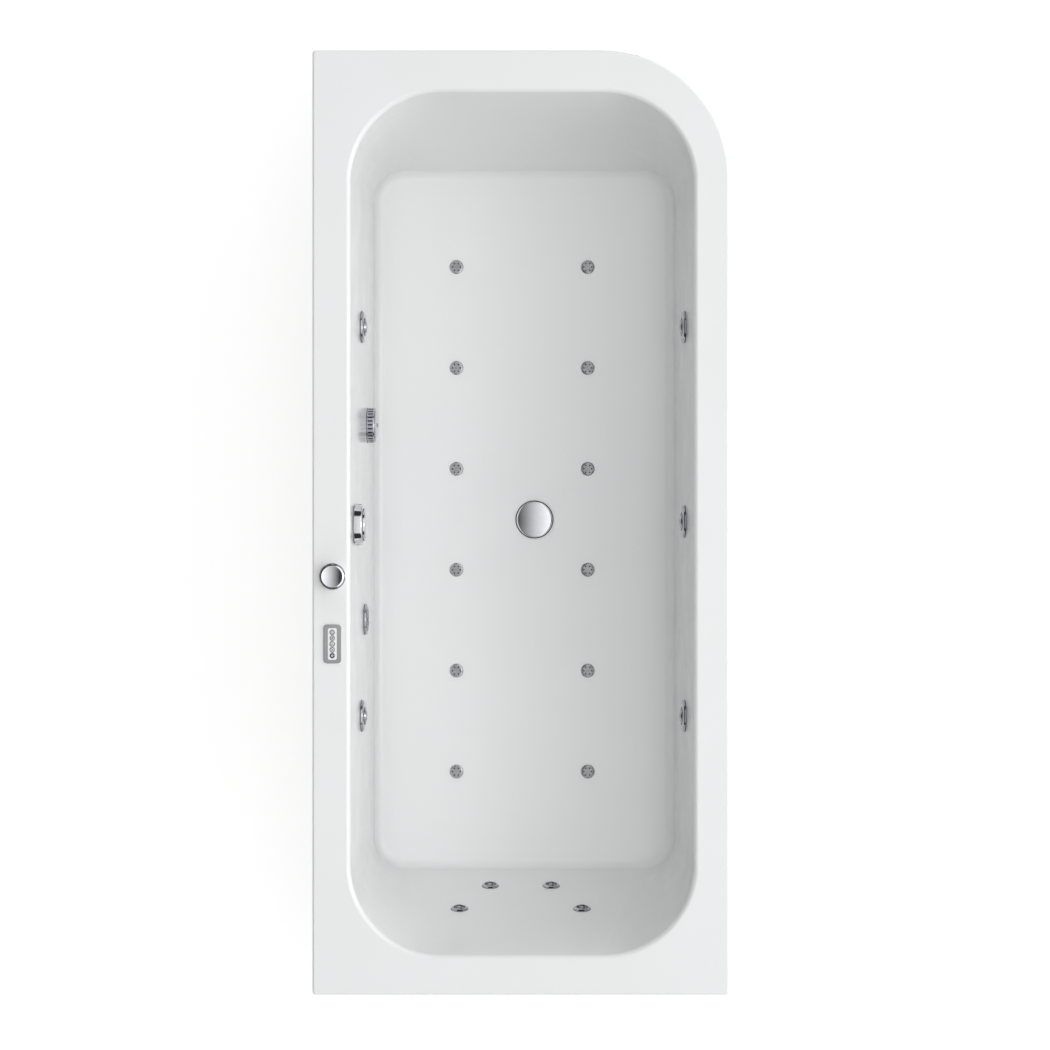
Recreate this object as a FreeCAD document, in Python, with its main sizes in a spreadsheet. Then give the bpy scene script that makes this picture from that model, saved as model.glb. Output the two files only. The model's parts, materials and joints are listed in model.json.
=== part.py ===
import FreeCAD, Part
import Sketcher
import math
import os

# Jetted bathtub, millimetres. The origin is on the ground under the middle of the rim outline.
# +X runs from the tap-side long wall (with the panel) to the other long wall, +Y towards the head end, +Z up.

doc = FreeCAD.newDocument("jetted_bathtub")
sheet = doc.addObject("Spreadsheet::Sheet", "Sizes")
Vector = FreeCAD.Vector
NODES = []


# --- Sizes ------------------------------------------------------------------------------------------

class Size:
    """A length, ratio or count that remembers the sheet formula it came from."""

    def __init__(self, value, text):
        self.value = value
        self.text = text

    def __float__(self):
        return float(self.value)

    def __add__(self, other):
        return Size(float(self) + float(other), f"({self.text} + {text_of(other)})")

    def __radd__(self, other):
        return Size(float(other) + float(self), f"({text_of(other)} + {self.text})")

    def __sub__(self, other):
        return Size(float(self) - float(other), f"({self.text} - {text_of(other)})")

    def __rsub__(self, other):
        return Size(float(other) - float(self), f"({text_of(other)} - {self.text})")

    def __mul__(self, other):
        return Size(float(self) * float(other), f"({self.text} * {text_of(other)})")

    __rmul__ = __mul__

    def __truediv__(self, other):
        return Size(float(self) / float(other), f"({self.text} / {text_of(other)})")

    def __neg__(self):
        return Size(-float(self), f"(0 - {self.text})")


def text_of(value):
    return value.text if isinstance(value, Size) else repr(float(value))


def root(value):
    return Size(math.sqrt(float(value)), f"sqrt({text_of(value)})")


def cell(name, value, note):
    """One driving dimension: a row of the sheet with its note, number and alias."""
    row = cell.row = cell.row + 1
    sheet.set(f"A{row}", note)
    sheet.set(f"B{row}", str(value))
    sheet.setAlias(f"B{row}", name)
    return Size(value, f"Sizes.{name}")


cell.row = 0

# rim and basin
bath_length = cell("bath_length", 1700, "rim outline, head to foot")
bath_width = cell("bath_width", 750, "rim outline, side to side")
rim_height = cell("rim_height", 600, "top of the rim above the ground")
rim_left = cell("rim_left", 68, "flat rim beside the left wall")
rim_right = cell("rim_right", 63, "flat rim beside the right wall")
rim_foot = cell("rim_foot", 70, "flat rim at the foot end")
rim_head = cell("rim_head", 74, "flat rim at the head end")
rim_corner = cell("rim_corner", 230, "radius of the one large outer corner")
rim_small_corner = cell("rim_small_corner", 6, "radius of the other outer corners")
rim_lip = cell("rim_lip", 38, "depth of the turned-down outer edge")
rim_round = cell("rim_round", 4, "rounding of the outer top edge")
opening_round = cell("opening_round", 8, "rounding where the rim turns into the basin")
opening_corner = cell("opening_corner", 165, "basin corner radius at the rim")
basin_depth = cell("basin_depth", 460, "rim top to floor")
left_run = cell("left_run", 25, "how far the left wall leans in over the depth")
right_run = cell("right_run", 15, "how far the right wall leans in over the depth")
foot_run = cell("foot_run", 115, "how far the foot-end wall leans in over the depth")
head_run = cell("head_run", 99, "how far the head-end wall leans in over the depth")
floor_corner = cell("floor_corner", 60, "basin corner radius at the floor")
floor_round = cell("floor_round", 20, "rounding between walls and floor")
shell_wall = cell("shell_wall", 5, "thickness of the moulding")
gap = cell("gap", 0.3, "clearance between pieces that don't bear on each other")
weld = cell("weld", 0.01, "least excess of an arc over its span")
running_fit = cell("running_fit", 0.05, "radial clearance of a shaft in its bore")

# cradle
board_thick = cell("board_thick", 15, "reinforcing board under the floor")
board_inset = cell("board_inset", 38, "board edge inside the floor outline")
rail_wide = cell("rail_wide", 30, "rail section, across")
rail_tall = cell("rail_tall", 40, "rail section, height")
rail_wall = cell("rail_wall", 2.5, "rail tube wall")
rail_spread = cell("rail_spread", 380, "distance between the two rails")
rail_end = cell("rail_end", 20, "rail end inside the rim outline")
cross_wide = cell("cross_wide", 40, "cross member section, across")
cross_tall = cell("cross_tall", 30, "cross member section, height")
cross_spread = cell("cross_spread", 1180, "distance between the cross members")
foot_spread = cell("foot_spread", 600, "distance between left and right feet")
cross_overhang = cell("cross_overhang", 30, "cross member beyond the foot centre")
post_side = cell("post_side", 25, "rim post section")
foot_pad_radius = cell("foot_pad_radius", 25, "levelling foot pad")
foot_pad_tall = cell("foot_pad_tall", 9, "levelling foot pad height")
foot_rod_radius = cell("foot_rod_radius", 6, "levelling foot rod")
foot_travel = cell("foot_travel", 30, "how far a foot can be wound out")
foot_bevel = cell("foot_bevel", 4, "slope of the levelling foot pad")
rod_spare = cell("rod_spare", 5, "rod above the cross member when wound out")
nut_across = cell("nut_across", 19, "lock nut across flats")
nut_tall = cell("nut_tall", 8, "lock nut height")

# side jets
jet_pitch = cell("jet_pitch", 361.5, "distance between side jets along the wall")
jet_shift = cell("jet_shift", 2, "middle side jet from the middle of the bath")
jet_height = cell("jet_height", 395, "height of the side jets' water line")
jet_ring_radius = cell("jet_ring_radius", 29.5, "chrome ring outside")
jet_ring_tall = cell("jet_ring_tall", 9, "chrome ring stands off the wall")
jet_edge_tall = cell("jet_edge_tall", 2.6, "height of the ring's outer edge")
jet_ball_radius = cell("jet_ball_radius", 15, "swivelling eyeball")
jet_ball_front = cell("jet_ball_front", 12.5, "front face of the eyeball above its centre")
jet_ball_back = cell("jet_ball_back", 11, "back face of the eyeball behind its centre")
jet_bore = cell("jet_bore", 7, "water passage of the eyeball")
jet_shank_radius = cell("jet_shank_radius", 20, "ring shank in the jet body")
jet_shank_long = cell("jet_shank_long", 16, "ring shank length")
ring_lip_in = cell("ring_lip_in", 4, "width of the ring's top face")
ring_crown_share = cell("ring_crown_share", 0.9, "curve of the ring's crown, of its radius")
ring_lip_round = cell("ring_lip_round", 1, "inner edge of the ring's top face")
ball_neck_share = cell("ball_neck_share", 0.6, "height of the eyeball's shoulder, of its radius")
ball_shoulder_share = cell("ball_shoulder_share", 0.8, "radius of the eyeball's shoulder, of its radius")
ball_snout_share = cell("ball_snout_share", 0.62, "radius of the eyeball's snout, of its radius")
shank_room = cell("shank_room", 8, "bore beyond the ring's shank")
jet_barrel_radius = cell("jet_barrel_radius", 24, "jet body through the wall")
jet_flange_radius = cell("jet_flange_radius", 30, "jet body flange behind the wall")
flange_thick = cell("flange_thick", 5, "flange behind the wall")
jet_line_depth = cell("jet_line_depth", 49, "water line behind the basin surface")
jet_line_half = cell("jet_line_half", 34, "half length of the jet body's water tee")
jet_air_rise = cell("jet_air_rise", 38, "air tee above the water tee")
jet_air_half = cell("jet_air_half", 18, "half length of the air tee")
water_pipe_radius = cell("water_pipe_radius", 16, "delivery pipe")
socket_wall = cell("socket_wall", 3, "socket around a pipe")
leg_less = cell("leg_less", 0.8, "a tee's side leg is this much slimmer in radius")
air_tube_radius = cell("air_tube_radius", 8, "air tube of the side jets")

# back jets
back_low_height = cell("back_low_height", 242, "water line of the lower back jets")
back_high_height = cell("back_high_height", 362, "water line of the upper back jets")
back_low_pitch = cell("back_low_pitch", 116, "distance between the lower back jets")
back_high_pitch = cell("back_high_pitch", 229, "distance between the upper back jets")
back_ring_radius = cell("back_ring_radius", 16, "back jet ring outside")
back_ring_tall = cell("back_ring_tall", 4.5, "back jet ring height")
back_ring_bore = cell("back_ring_bore", 10.5, "back jet ring inside")
back_rotor_radius = cell("back_rotor_radius", 9.5, "spinning rotor")
back_rotor_tall = cell("back_rotor_tall", 3.4, "spinning rotor thickness")
back_stem_radius = cell("back_stem_radius", 5, "rotor stem")
back_stem_long = cell("back_stem_long", 14, "rotor stem length")
back_barrel_radius = cell("back_barrel_radius", 12, "back jet body through the wall")
back_flange_radius = cell("back_flange_radius", 17, "back jet body flange")
back_line_depth = cell("back_line_depth", 24, "water line behind the basin surface")
back_line_half = cell("back_line_half", 22, "half length of the back jet's tee")
back_socket_wall = cell("back_socket_wall", 2, "socket around a branch pipe")
back_hole_radius = cell("back_hole_radius", 2.6, "water holes in a rotor")
back_hole_ring = cell("back_hole_ring", 5.9, "radius of the ring of rotor holes")
rotor_edge = cell("rotor_edge", 0.8, "bevel of the rotor's edge")
back_ring_edge = cell("back_ring_edge", 1.2, "upright edge of a back jet ring")
rotor_holes = cell("rotor_holes", 3, "water holes in a rotor, evenly spread")
back_crown_share = cell("back_crown_share", 0.6, "curve of that ring's crown, of its radius")
back_ring_ease = cell("back_ring_ease", 0.6, "bevel at that ring's bore")
bore_spare = cell("bore_spare", 2, "blind bores go on beyond what they hold")
branch_turn_out = cell("branch_turn_out", 45, "branch pipe beyond the last upper back jet")
branch_start = cell("branch_start", 60, "branch pipe straight beyond the last side jet")
branch_radius = cell("branch_radius", 10, "branch pipe to the back jets")

# floor air jets
air_left = cell("air_left", -124.5, "left row of floor air jets")
air_right = cell("air_right", 129.7, "right row of floor air jets")
air_first = cell("air_first", -482.3, "first air jet from the middle of the bath")
air_pitch = cell("air_pitch", 195.4, "distance between air jets in a row")
air_count = cell("air_count", 6, "air jets in a row")
air_cap_radius = cell("air_cap_radius", 13.4, "air jet cap")
air_cap_tall = cell("air_cap_tall", 2.6, "air jet cap height")
air_hole_radius = cell("air_hole_radius", 1.4, "air holes in a cap")
air_hole_count = cell("air_hole_count", 6, "holes in an air jet's cap")
air_edge_share = cell("air_edge_share", 0.4, "upright edge of the cap, of its height")
air_crown_share = cell("air_crown_share", 0.7, "curve of the cap's crown, of its radius")
air_flat_share = cell("air_flat_share", 0.72, "flat middle of the cap, of its radius")
air_seat_wall = cell("air_seat_wall", 1.2, "post around the cap's shank")
air_seat_more = cell("air_seat_more", 2, "post below the body's chamber")
air_web = cell("air_web", 2, "thickness of the post's web")
air_hole_ring = cell("air_hole_ring", 7.6, "radius of the ring of air holes")
air_shank_radius = cell("air_shank_radius", 5, "cap shank")
air_shank_long = cell("air_shank_long", 12, "cap shank length")
air_body_radius = cell("air_body_radius", 10, "air jet body through floor and board")
air_nut_radius = cell("air_nut_radius", 15, "air jet nut under the board")
air_nut_tall = cell("air_nut_tall", 5, "air jet nut height")
air_pipe_radius = cell("air_pipe_radius", 12.5, "air pipe under a row")
air_pipe_drop = cell("air_pipe_drop", 20, "air pipe centre below the board")
air_pipe_tail = cell("air_pipe_tail", 28, "air pipe beyond the last jet")
air_header_back = cell("air_header_back", 62, "air header beyond the first jet")

# waste and overflow
waste_x = cell("waste_x", 26.6, "waste centre, side to side")
waste_y = cell("waste_y", 5.8, "waste centre, along the bath")
waste_flange_radius = cell("waste_flange_radius", 36, "waste flange")
waste_flange_tall = cell("waste_flange_tall", 2.4, "waste flange height")
waste_ease = cell("waste_ease", 1, "rounding of the waste flange")
waste_seat_wide = cell("waste_seat_wide", 3, "slope from the flange's top into its bore")
waste_seat_drop = cell("waste_seat_drop", 0.8, "fall of the flange's top")
waste_seat_deep = cell("waste_seat_deep", 3, "depth of that slope")
guide_wall = cell("guide_wall", 3, "hub around the plug's stem, and its bars")
guide_tall = cell("guide_tall", 8, "height of those bars")
guide_short = cell("guide_short", 8, "hub ends so far below the floor's face")
cap_edge = cell("cap_edge", 2, "upright edge of the waste cap")
waste_bore = cell("waste_bore", 19, "waste outlet bore")
waste_shank_radius = cell("waste_shank_radius", 22, "waste flange shank")
cap_radius = cell("cap_radius", 33, "waste cap")
cap_tall = cell("cap_tall", 7, "waste cap dome height")
cap_stem_radius = cell("cap_stem_radius", 4, "waste cap stem")
cap_stem_long = cell("cap_stem_long", 34, "waste cap stem length")
guide_down = cell("guide_down", 22, "cap stem guide below the floor surface")
trap_radius = cell("trap_radius", 30, "trap cup")
trap_bottom = cell("trap_bottom", 18, "trap cup above the ground")
trap_top = cell("trap_top", 92, "trap cup top above the ground")
trap_round = cell("trap_round", 6, "rounding of the cup's bottom edge")
waste_pipe_height = cell("waste_pipe_height", 46, "outlet and overflow centre above the ground")
outlet_radius = cell("outlet_radius", 20, "trap outlet spigot")
outlet_wall = cell("outlet_wall", 2.5, "wall of the outlet spigot")
outlet_shoulder = cell("outlet_shoulder", 4, "shoulder that stops a pipe pushed over the outlet")
shoulder_long = cell("shoulder_long", 12, "shoulder beyond the cup")
outlet_long = cell("outlet_long", 75, "trap outlet spigot length beyond the shoulder")
side_inlet_long = cell("side_inlet_long", 14, "overflow inlet beyond the cup")
neck_wall = cell("neck_wall", 4, "trap neck around the waste shank")
collar_wide = cell("collar_wide", 12, "trap collar around the waste shank")
trap_collar_tall = cell("trap_collar_tall", 6, "trap collar under the board")
overflow_y = cell("overflow_y", -4, "overflow centre along the bath")
overflow_height = cell("overflow_height", 520, "overflow centre above the ground")
overflow_radius = cell("overflow_radius", 38.5, "overflow drum")
overflow_tall = cell("overflow_tall", 16, "overflow drum front above the wall")
overflow_slot = cell("overflow_slot", 6, "water gap behind the overflow drum")
overflow_edge = cell("overflow_edge", 3, "rounding of the drum's face")
overflow_recess = cell("overflow_recess", 3, "hollow in the drum's back")
overflow_rim = cell("overflow_rim", 2.5, "wall round that hollow")
overflow_lip = cell("overflow_lip", 4, "wall plate beyond its middle")
overflow_wall = cell("overflow_wall", 3, "wall of the overflow's barrel and its rib")
overflow_bearing = cell("overflow_bearing", 4, "hub round the drum's shaft")
overflow_floor = cell("overflow_floor", 4, "back wall of the barrel")
hose_wall = cell("hose_wall", 2, "socket wall around the overflow hose")
drop_long = cell("drop_long", 14, "hose socket below the side arm")
arm_spare = cell("arm_spare", 4, "side arm beyond the hose")
hub_back = cell("hub_back", 2, "hub from the barrel's back")
shaft_spare = cell("shaft_spare", 20, "length of the shaft's bore beyond the shaft")
overflow_plate_radius = cell("overflow_plate_radius", 31, "overflow face plate")
overflow_plate_tall = cell("overflow_plate_tall", 2, "overflow face plate thickness")
overflow_barrel_radius = cell("overflow_barrel_radius", 24, "overflow body through the wall")
overflow_shaft_radius = cell("overflow_shaft_radius", 6, "overflow drum shaft")
overflow_shaft_long = cell("overflow_shaft_long", 10, "shaft length behind the basin surface")
hose_radius = cell("hose_radius", 11, "overflow pipe")
hose_step = cell("hose_step", 58, "overflow pipe beside the overflow centre")

# suction, light
suction_y = cell("suction_y", 184, "suction centre along the bath")
suction_height = cell("suction_height", 280, "suction line above the ground")
strainer_radius = cell("strainer_radius", 33, "suction strainer")
strainer_tall = cell("strainer_tall", 17, "suction strainer height")
strainer_dome = cell("strainer_dome", 1.2, "crown of the strainer's front")
strainer_wall = cell("strainer_wall", 2.5, "suction strainer wall")
strainer_slots = cell("strainer_slots", 28, "slots round the strainer")
strainer_slot_wide = cell("strainer_slot_wide", 2.6, "slot width")
strainer_crown = cell("strainer_crown", 4, "rounding of the strainer's face")
strainer_face = cell("strainer_face", 0.5, "post above the inside of the strainer's face")
post_radius = cell("post_radius", 5, "screw post of the strainer")
post_back = cell("post_back", 6, "screw post behind the wall's face")
boss_radius = cell("boss_radius", 8, "boss that takes the strainer's post")
suction_wall = cell("suction_wall", 4, "wall of the suction body")
slot_foot = cell("slot_foot", 3, "slots start above the strainer's foot")
slot_over = cell("slot_over", 2, "slot cutter beyond the strainer")
suction_barrel_radius = cell("suction_barrel_radius", 27, "suction body through the wall")
suction_flange_radius = cell("suction_flange_radius", 38, "suction body flange")
suction_line_depth = cell("suction_line_depth", 40, "suction line behind the basin surface")
suction_line_half = cell("suction_line_half", 40, "suction tee length")
suction_pipe_radius = cell("suction_pipe_radius", 25, "suction pipe")
light_y = cell("light_y", -182, "light centre along the bath")
light_height = cell("light_height", 335, "light centre above the ground")
light_radius = cell("light_radius", 29, "light ring")
light_tall = cell("light_tall", 5, "light ring height")
lens_radius = cell("lens_radius", 22, "light lens")
lens_recess = cell("lens_recess", 2, "floor of the lens seat")
light_ease = cell("light_ease", 2, "rounding of the bezel")
light_nut_wide = cell("light_nut_wide", 8, "nut around the light's barrel")
lens_tall = cell("lens_tall", 7.6, "lens crown above the wall")
light_barrel_radius = cell("light_barrel_radius", 14, "light housing through the wall")
light_barrel_long = cell("light_barrel_long", 34, "light housing behind the basin surface")

# controls on the rim
knob_x = cell("knob_x", -338.7, "air knob centre, side to side")
knob_y = cell("knob_y", -97.1, "air knob centre, along the bath")
knob_radius = cell("knob_radius", 21, "air knob")
knob_tall = cell("knob_tall", 20, "air knob height")
knob_dish = cell("knob_dish", 3, "hollow in the top of the knob")
knob_stem_radius = cell("knob_stem_radius", 6, "knob stem")
knob_stem_long = cell("knob_stem_long", 20, "knob stem length")
collar_radius = cell("collar_radius", 24, "ring under the knob")
collar_tall = cell("collar_tall", 3, "ring thickness")
control_barrel_radius = cell("control_barrel_radius", 15, "air control body through the rim")
control_barrel_long = cell("control_barrel_long", 45, "air control body below the rim top")
knob_round = cell("knob_round", 2.5, "rounding of the knob's top edge")
knob_flare = cell("knob_flare", 1.5, "knob wider at its foot")
dish_in = cell("dish_in", 4, "dish from the knob's side")
dish_lip = cell("dish_lip", 0.6, "step down to the dish")
scallop_count = cell("scallop_count", 12, "finger grooves round the knob")
scallop_radius = cell("scallop_radius", 3.4, "finger groove")
scallop_up = cell("scallop_up", 5, "knob's top left plain")
control_nut_wide = cell("control_nut_wide", 6, "nut under the rim, around its body")
panel_x = cell("panel_x", -338.8, "panel centre, side to side")
panel_y = cell("panel_y", -218.4, "panel centre, along the bath")
panel_wide = cell("panel_wide", 32, "panel frame across")
panel_long = cell("panel_long", 70, "panel frame along")
panel_tall = cell("panel_tall", 3, "panel frame above the rim")
panel_corner = cell("panel_corner", 7, "panel frame corner radius")
fascia_wide = cell("fascia_wide", 16, "white fascia across")
fascia_long = cell("fascia_long", 57, "white fascia along")
fascia_thick = cell("fascia_thick", 1, "white fascia thickness")
fascia_corner = cell("fascia_corner", 3, "fascia corner radius")
panel_body_wide = cell("panel_body_wide", 26, "panel body through the rim, across")
panel_body_long = cell("panel_body_long", 62, "panel body through the rim, along")
panel_body_deep = cell("panel_body_deep", 18, "panel body below the rim top")
button_count = cell("button_count", 5, "buttons in a row")
button_pitch = cell("button_pitch", 10.45, "distance between buttons")
button_radius = cell("button_radius", 4.7, "button")
button_proud = cell("button_proud", 0.9, "button above the fascia")
button_travel = cell("button_travel", 0.6, "button travel")
button_deep = cell("button_deep", 1.8, "button below the frame top")

# pump, blower, control box
pump_y = cell("pump_y", 775, "pump axis along the bath")
pump_left = cell("pump_left", -165, "inlet side of the volute")
cradle_thick = cell("cradle_thick", 6, "pump cradle plate")
cradle_gap = cell("cradle_gap", 7, "motor above the cradle plate")
motor_radius = cell("motor_radius", 60, "pump motor")
motor_long = cell("motor_long", 250, "pump motor length")
fin_count = cell("fin_count", 24, "cooling fins round the motor")
fin_deep = cell("fin_deep", 5, "cooling fin height")
fin_thick = cell("fin_thick", 3, "cooling fin thickness")
motor_plain = cell("motor_plain", 35, "motor length before its fins start")
fins_long = cell("fins_long", 150, "length of the cooling fins")
fin_root = cell("fin_root", 2, "fin set into the motor")
motor_round = cell("motor_round", 10, "rounding of the motor's far end")
motor_box_long = cell("motor_box_long", 85, "terminal box length")
motor_box_wide = cell("motor_box_wide", 54, "terminal box width")
motor_box_tall = cell("motor_box_tall", 27, "terminal box height")
motor_box_x = cell("motor_box_x", 112.5, "terminal box middle from the motor's flange")
motor_box_shift = cell("motor_box_shift", 16.8, "terminal box beside the motor's axis")
motor_box_rise = cell("motor_box_rise", 43.2, "terminal box foot above the motor's axis")
cradle_plate_long = cell("cradle_plate_long", 87, "cradle plate along the bath")
saddle_thick = cell("saddle_thick", 8, "saddle under the motor")
saddle_wide = cell("saddle_wide", 78, "saddle across the motor")
saddle_tall = cell("saddle_tall", 30, "saddle height")
saddle_in = cell("saddle_in", 50, "saddle from the motor's end")
volute_round = cell("volute_round", 14, "rounding of the volute's inlet side")
volute_step = cell("volute_step", 8, "flange of the volute")
volute_bevel = cell("volute_bevel", 3, "bevel of that flange")
port_wall = cell("port_wall", 4, "wall of the volute's inlet")
riser_wall = cell("riser_wall", 3, "wall of the volute's outlet")
impeller_gap = cell("impeller_gap", 5, "impeller from the volute's back wall")
hub_wall = cell("hub_wall", 6, "impeller hub around the shaft")
volute_radius = cell("volute_radius", 66, "pump volute")
volute_long = cell("volute_long", 58, "pump volute length")
volute_wall = cell("volute_wall", 6, "pump volute wall")
inlet_long = cell("inlet_long", 22, "pump inlet spigot")
impeller_radius = cell("impeller_radius", 44, "impeller")
impeller_plate = cell("impeller_plate", 4, "impeller back plate")
blade_count = cell("blade_count", 6, "impeller blades")
blade_tall = cell("blade_tall", 16, "impeller blade height")
blade_thick = cell("blade_thick", 3, "impeller blade thickness")
pump_shaft_radius = cell("pump_shaft_radius", 6, "pump shaft")
pump_shaft_long = cell("pump_shaft_long", 80, "pump shaft inside the motor")
tee_half = cell("tee_half", 30, "half length of a pipe tee")
riser_beyond = cell("riser_beyond", 16, "volute riser above the volute")
corner_clear = cell("corner_clear", 122.3, "45 degree run from the centre of the large corner, along X and Y")
air_tee_half = cell("air_tee_half", 20, "half length of the air tee under the rim knob")
air_tee_leg = cell("air_tee_leg", 22, "leg of that tee")
air_socket_wall = cell("air_socket_wall", 2, "socket around an air tube")
knob_tube_drop = cell("knob_tube_drop", 30, "air tube straight below the rim knob and above its tee")
feed_step = cell("feed_step", 40, "air feed beyond the blower spigot")
blower_x = cell("blower_x", -205, "blower centre, side to side")
blower_y = cell("blower_y", -755, "blower centre, along the bath")
blower_radius = cell("blower_radius", 42, "blower drum")
blower_long = cell("blower_long", 110, "blower length")
blower_base = cell("blower_base", 8, "blower foot under the drum")
blower_round = cell("blower_round", 8, "rounding of the blower's end")
blower_step_x = cell("blower_step_x", 66, "wide part of the blower")
blower_step_in = cell("blower_step_in", 6, "the rest is slimmer in radius, and its end is rounded so")
blower_foot_long = cell("blower_foot_long", 55, "blower foot across")
blower_foot_wide = cell("blower_foot_wide", 50.4, "blower foot along the bath")
blower_foot_tall = cell("blower_foot_tall", 29, "blower foot height")
blower_foot_shift = cell("blower_foot_shift", 11, "blower foot beside the middle")
spigot_long = cell("spigot_long", 14, "blower spigot beyond the blower")
spigot_wall = cell("spigot_wall", 2, "wall of the blower spigot")
box_x = cell("box_x", 170, "control box centre, side to side")
box_y = cell("box_y", -757, "control box centre, along the bath")
box_wide = cell("box_wide", 160, "control box across")
box_long = cell("box_long", 72, "control box along the bath")
box_tall = cell("box_tall", 95, "control box height")
gland_radius = cell("gland_radius", 8, "cable gland")
gland_long = cell("gland_long", 14, "cable gland length")
gland_pitch = cell("gland_pitch", 22, "distance between cable glands")
gland_rise = cell("gland_rise", 38, "cable glands above the box's foot")
lid_tall = cell("lid_tall", 12, "control box lid")
lid_over = cell("lid_over", 3, "lid beyond the case")
doc.recompute()

# levels and edges that follow from the sizes
rim_top = rim_height
deck_under = rim_height - shell_wall
floor_top = rim_height - basin_depth
floor_under = floor_top - shell_wall
board_under = floor_under - board_thick
rail_under = board_under - rail_tall
cross_under = rail_under - cross_tall
left_edge = -(bath_width / 2) + rim_left
right_edge = bath_width / 2 - rim_right
foot_edge = -(bath_length / 2) + rim_foot
head_edge = bath_length / 2 - rim_head
motor_axis = board_under + cradle_thick + cradle_gap + motor_radius


# --- Building blocks --------------------------------------------------------------------------------

def bind(thing, name, value):
    """Ties a property to its sheet formula, or sets a plain number."""
    if isinstance(value, Size):
        thing.setExpression(name, value.text)
    else:
        thing.setExpression(name, repr(float(value)))


def put(thing, x=0.0, y=0.0, z=0.0, turn=None):
    """Binds where a thing stands, with an optional fixed rotation."""
    if turn:
        thing.Placement = FreeCAD.Placement(Vector(), turn)
    for axis, value in zip("xyz", (x, y, z)):
        bind(thing, f"Placement.Base.{axis}", value)
    return thing


def cylinder(name, radius, length, x=0.0, y=0.0, z=0.0, turn=None):
    thing = doc.addObject("Part::Cylinder", name)
    bind(thing, "Radius", radius)
    bind(thing, "Height", length)
    return put(thing, x, y, z, turn)


def block(name, wide, long, tall, x=0.0, y=0.0, z=0.0):
    """A box centred on x and y, standing on z."""
    thing = doc.addObject("Part::Box", name)
    bind(thing, "Length", wide)
    bind(thing, "Width", long)
    bind(thing, "Height", tall)
    return put(thing, x - wide / 2, y - long / 2, z)


def fuse(name, *things):
    thing = doc.addObject("Part::MultiFuse", name)
    thing.Shapes = list(things)
    thing.Refine = True
    return thing


def cut(name, base, *tools):
    thing = doc.addObject("Part::Cut", name)
    thing.Base = base
    thing.Tool = tools[0] if len(tools) == 1 else fuse(name + "_tools", *tools)
    return thing


def cut_in_turn(name, base, tools):
    """Cuts many tools one after another, which is far quicker on a large shell than all at once."""
    for index, tool in enumerate(tools):
        base = cut(f"{name}_{index}", base, tool)
    return base


def group(name, things):
    thing = doc.addObject("Part::Compound", name)
    thing.Links = list(things)
    return thing


def node(name, thing, place=None):
    """Names a finished piece; its label is the name of its file."""
    thing.Label = name
    if place:
        thing.Placement = place
    NODES.append(thing)
    return thing


def plane_of(body, role):
    return next(f for f in body.Origin.OriginFeatures if f.Role == role)


def sketch_on(body, name, role, offset=0.0):
    sketch = body.newObject("Sketcher::SketchObject", name)
    sketch.AttachmentSupport = [(plane_of(body, role), "")]
    sketch.MapMode = "FlatFace"
    bind(sketch, "AttachmentOffset.Base.z", offset)
    return sketch


def hold(sketch, kind, *where):
    """Adds a dimension constraint tied to its size."""
    *place, value = where
    index = sketch.addConstraint(Sketcher.Constraint(kind, *place, float(value)))
    if isinstance(value, Size):
        sketch.setExpression(f"Constraints[{index}]", value.text)


def rounded_outline(sketch, x_low, x_high, y_low, y_high, radii):
    """Four sides with a round corner at each of bottom-right, top-right, top-left, bottom-left."""
    x0, x1, y0, y1 = (float(v) for v in (x_low, x_high, y_low, y_high))
    corners = [(x1, y0, -1, 1), (x1, y1, -1, -1), (x0, y1, 1, -1), (x0, y0, 1, 1)]
    centres = [(x + sx * float(r), y + sy * float(r)) for (x, y, sx, sy), r in zip(corners, radii)]
    radius = [float(r) for r in radii]
    up = Vector(0, 0, 1)
    sides = [
        ((centres[3][0], y0), (centres[0][0], y0)),
        ((x1, centres[0][1]), (x1, centres[1][1])),
        ((centres[1][0], y1), (centres[2][0], y1)),
        ((x0, centres[2][1]), (x0, centres[3][1])),
    ]
    for index, (start, end) in enumerate(sides):
        sketch.addGeometry(Part.LineSegment(Vector(*start, 0), Vector(*end, 0)), False)
        circle = Part.Circle(Vector(*centres[index], 0), up, radius[index])
        first = math.pi / 2 * (index - 1)
        sketch.addGeometry(Part.ArcOfCircle(circle, first, first + math.pi / 2), False)
    for index in range(8):
        sketch.addConstraint(Sketcher.Constraint("Tangent", index, 2, (index + 1) % 8, 1))
    for index, direction in ((0, "Horizontal"), (2, "Vertical"), (4, "Horizontal"), (6, "Vertical")):
        sketch.addConstraint(Sketcher.Constraint(direction, index))
    hold(sketch, "DistanceY", 0, 1, y_low)
    hold(sketch, "DistanceX", 2, 1, x_high)
    hold(sketch, "DistanceY", 4, 1, y_high)
    hold(sketch, "DistanceX", 6, 1, x_low)
    for index, value in enumerate(radii):
        hold(sketch, "Radius", 2 * index + 1, value)


def dome(span, rise):
    """Radius of a dome that rises by rise over a half width of span."""
    return (span * span + rise * rise) / (rise * 2)


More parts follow.
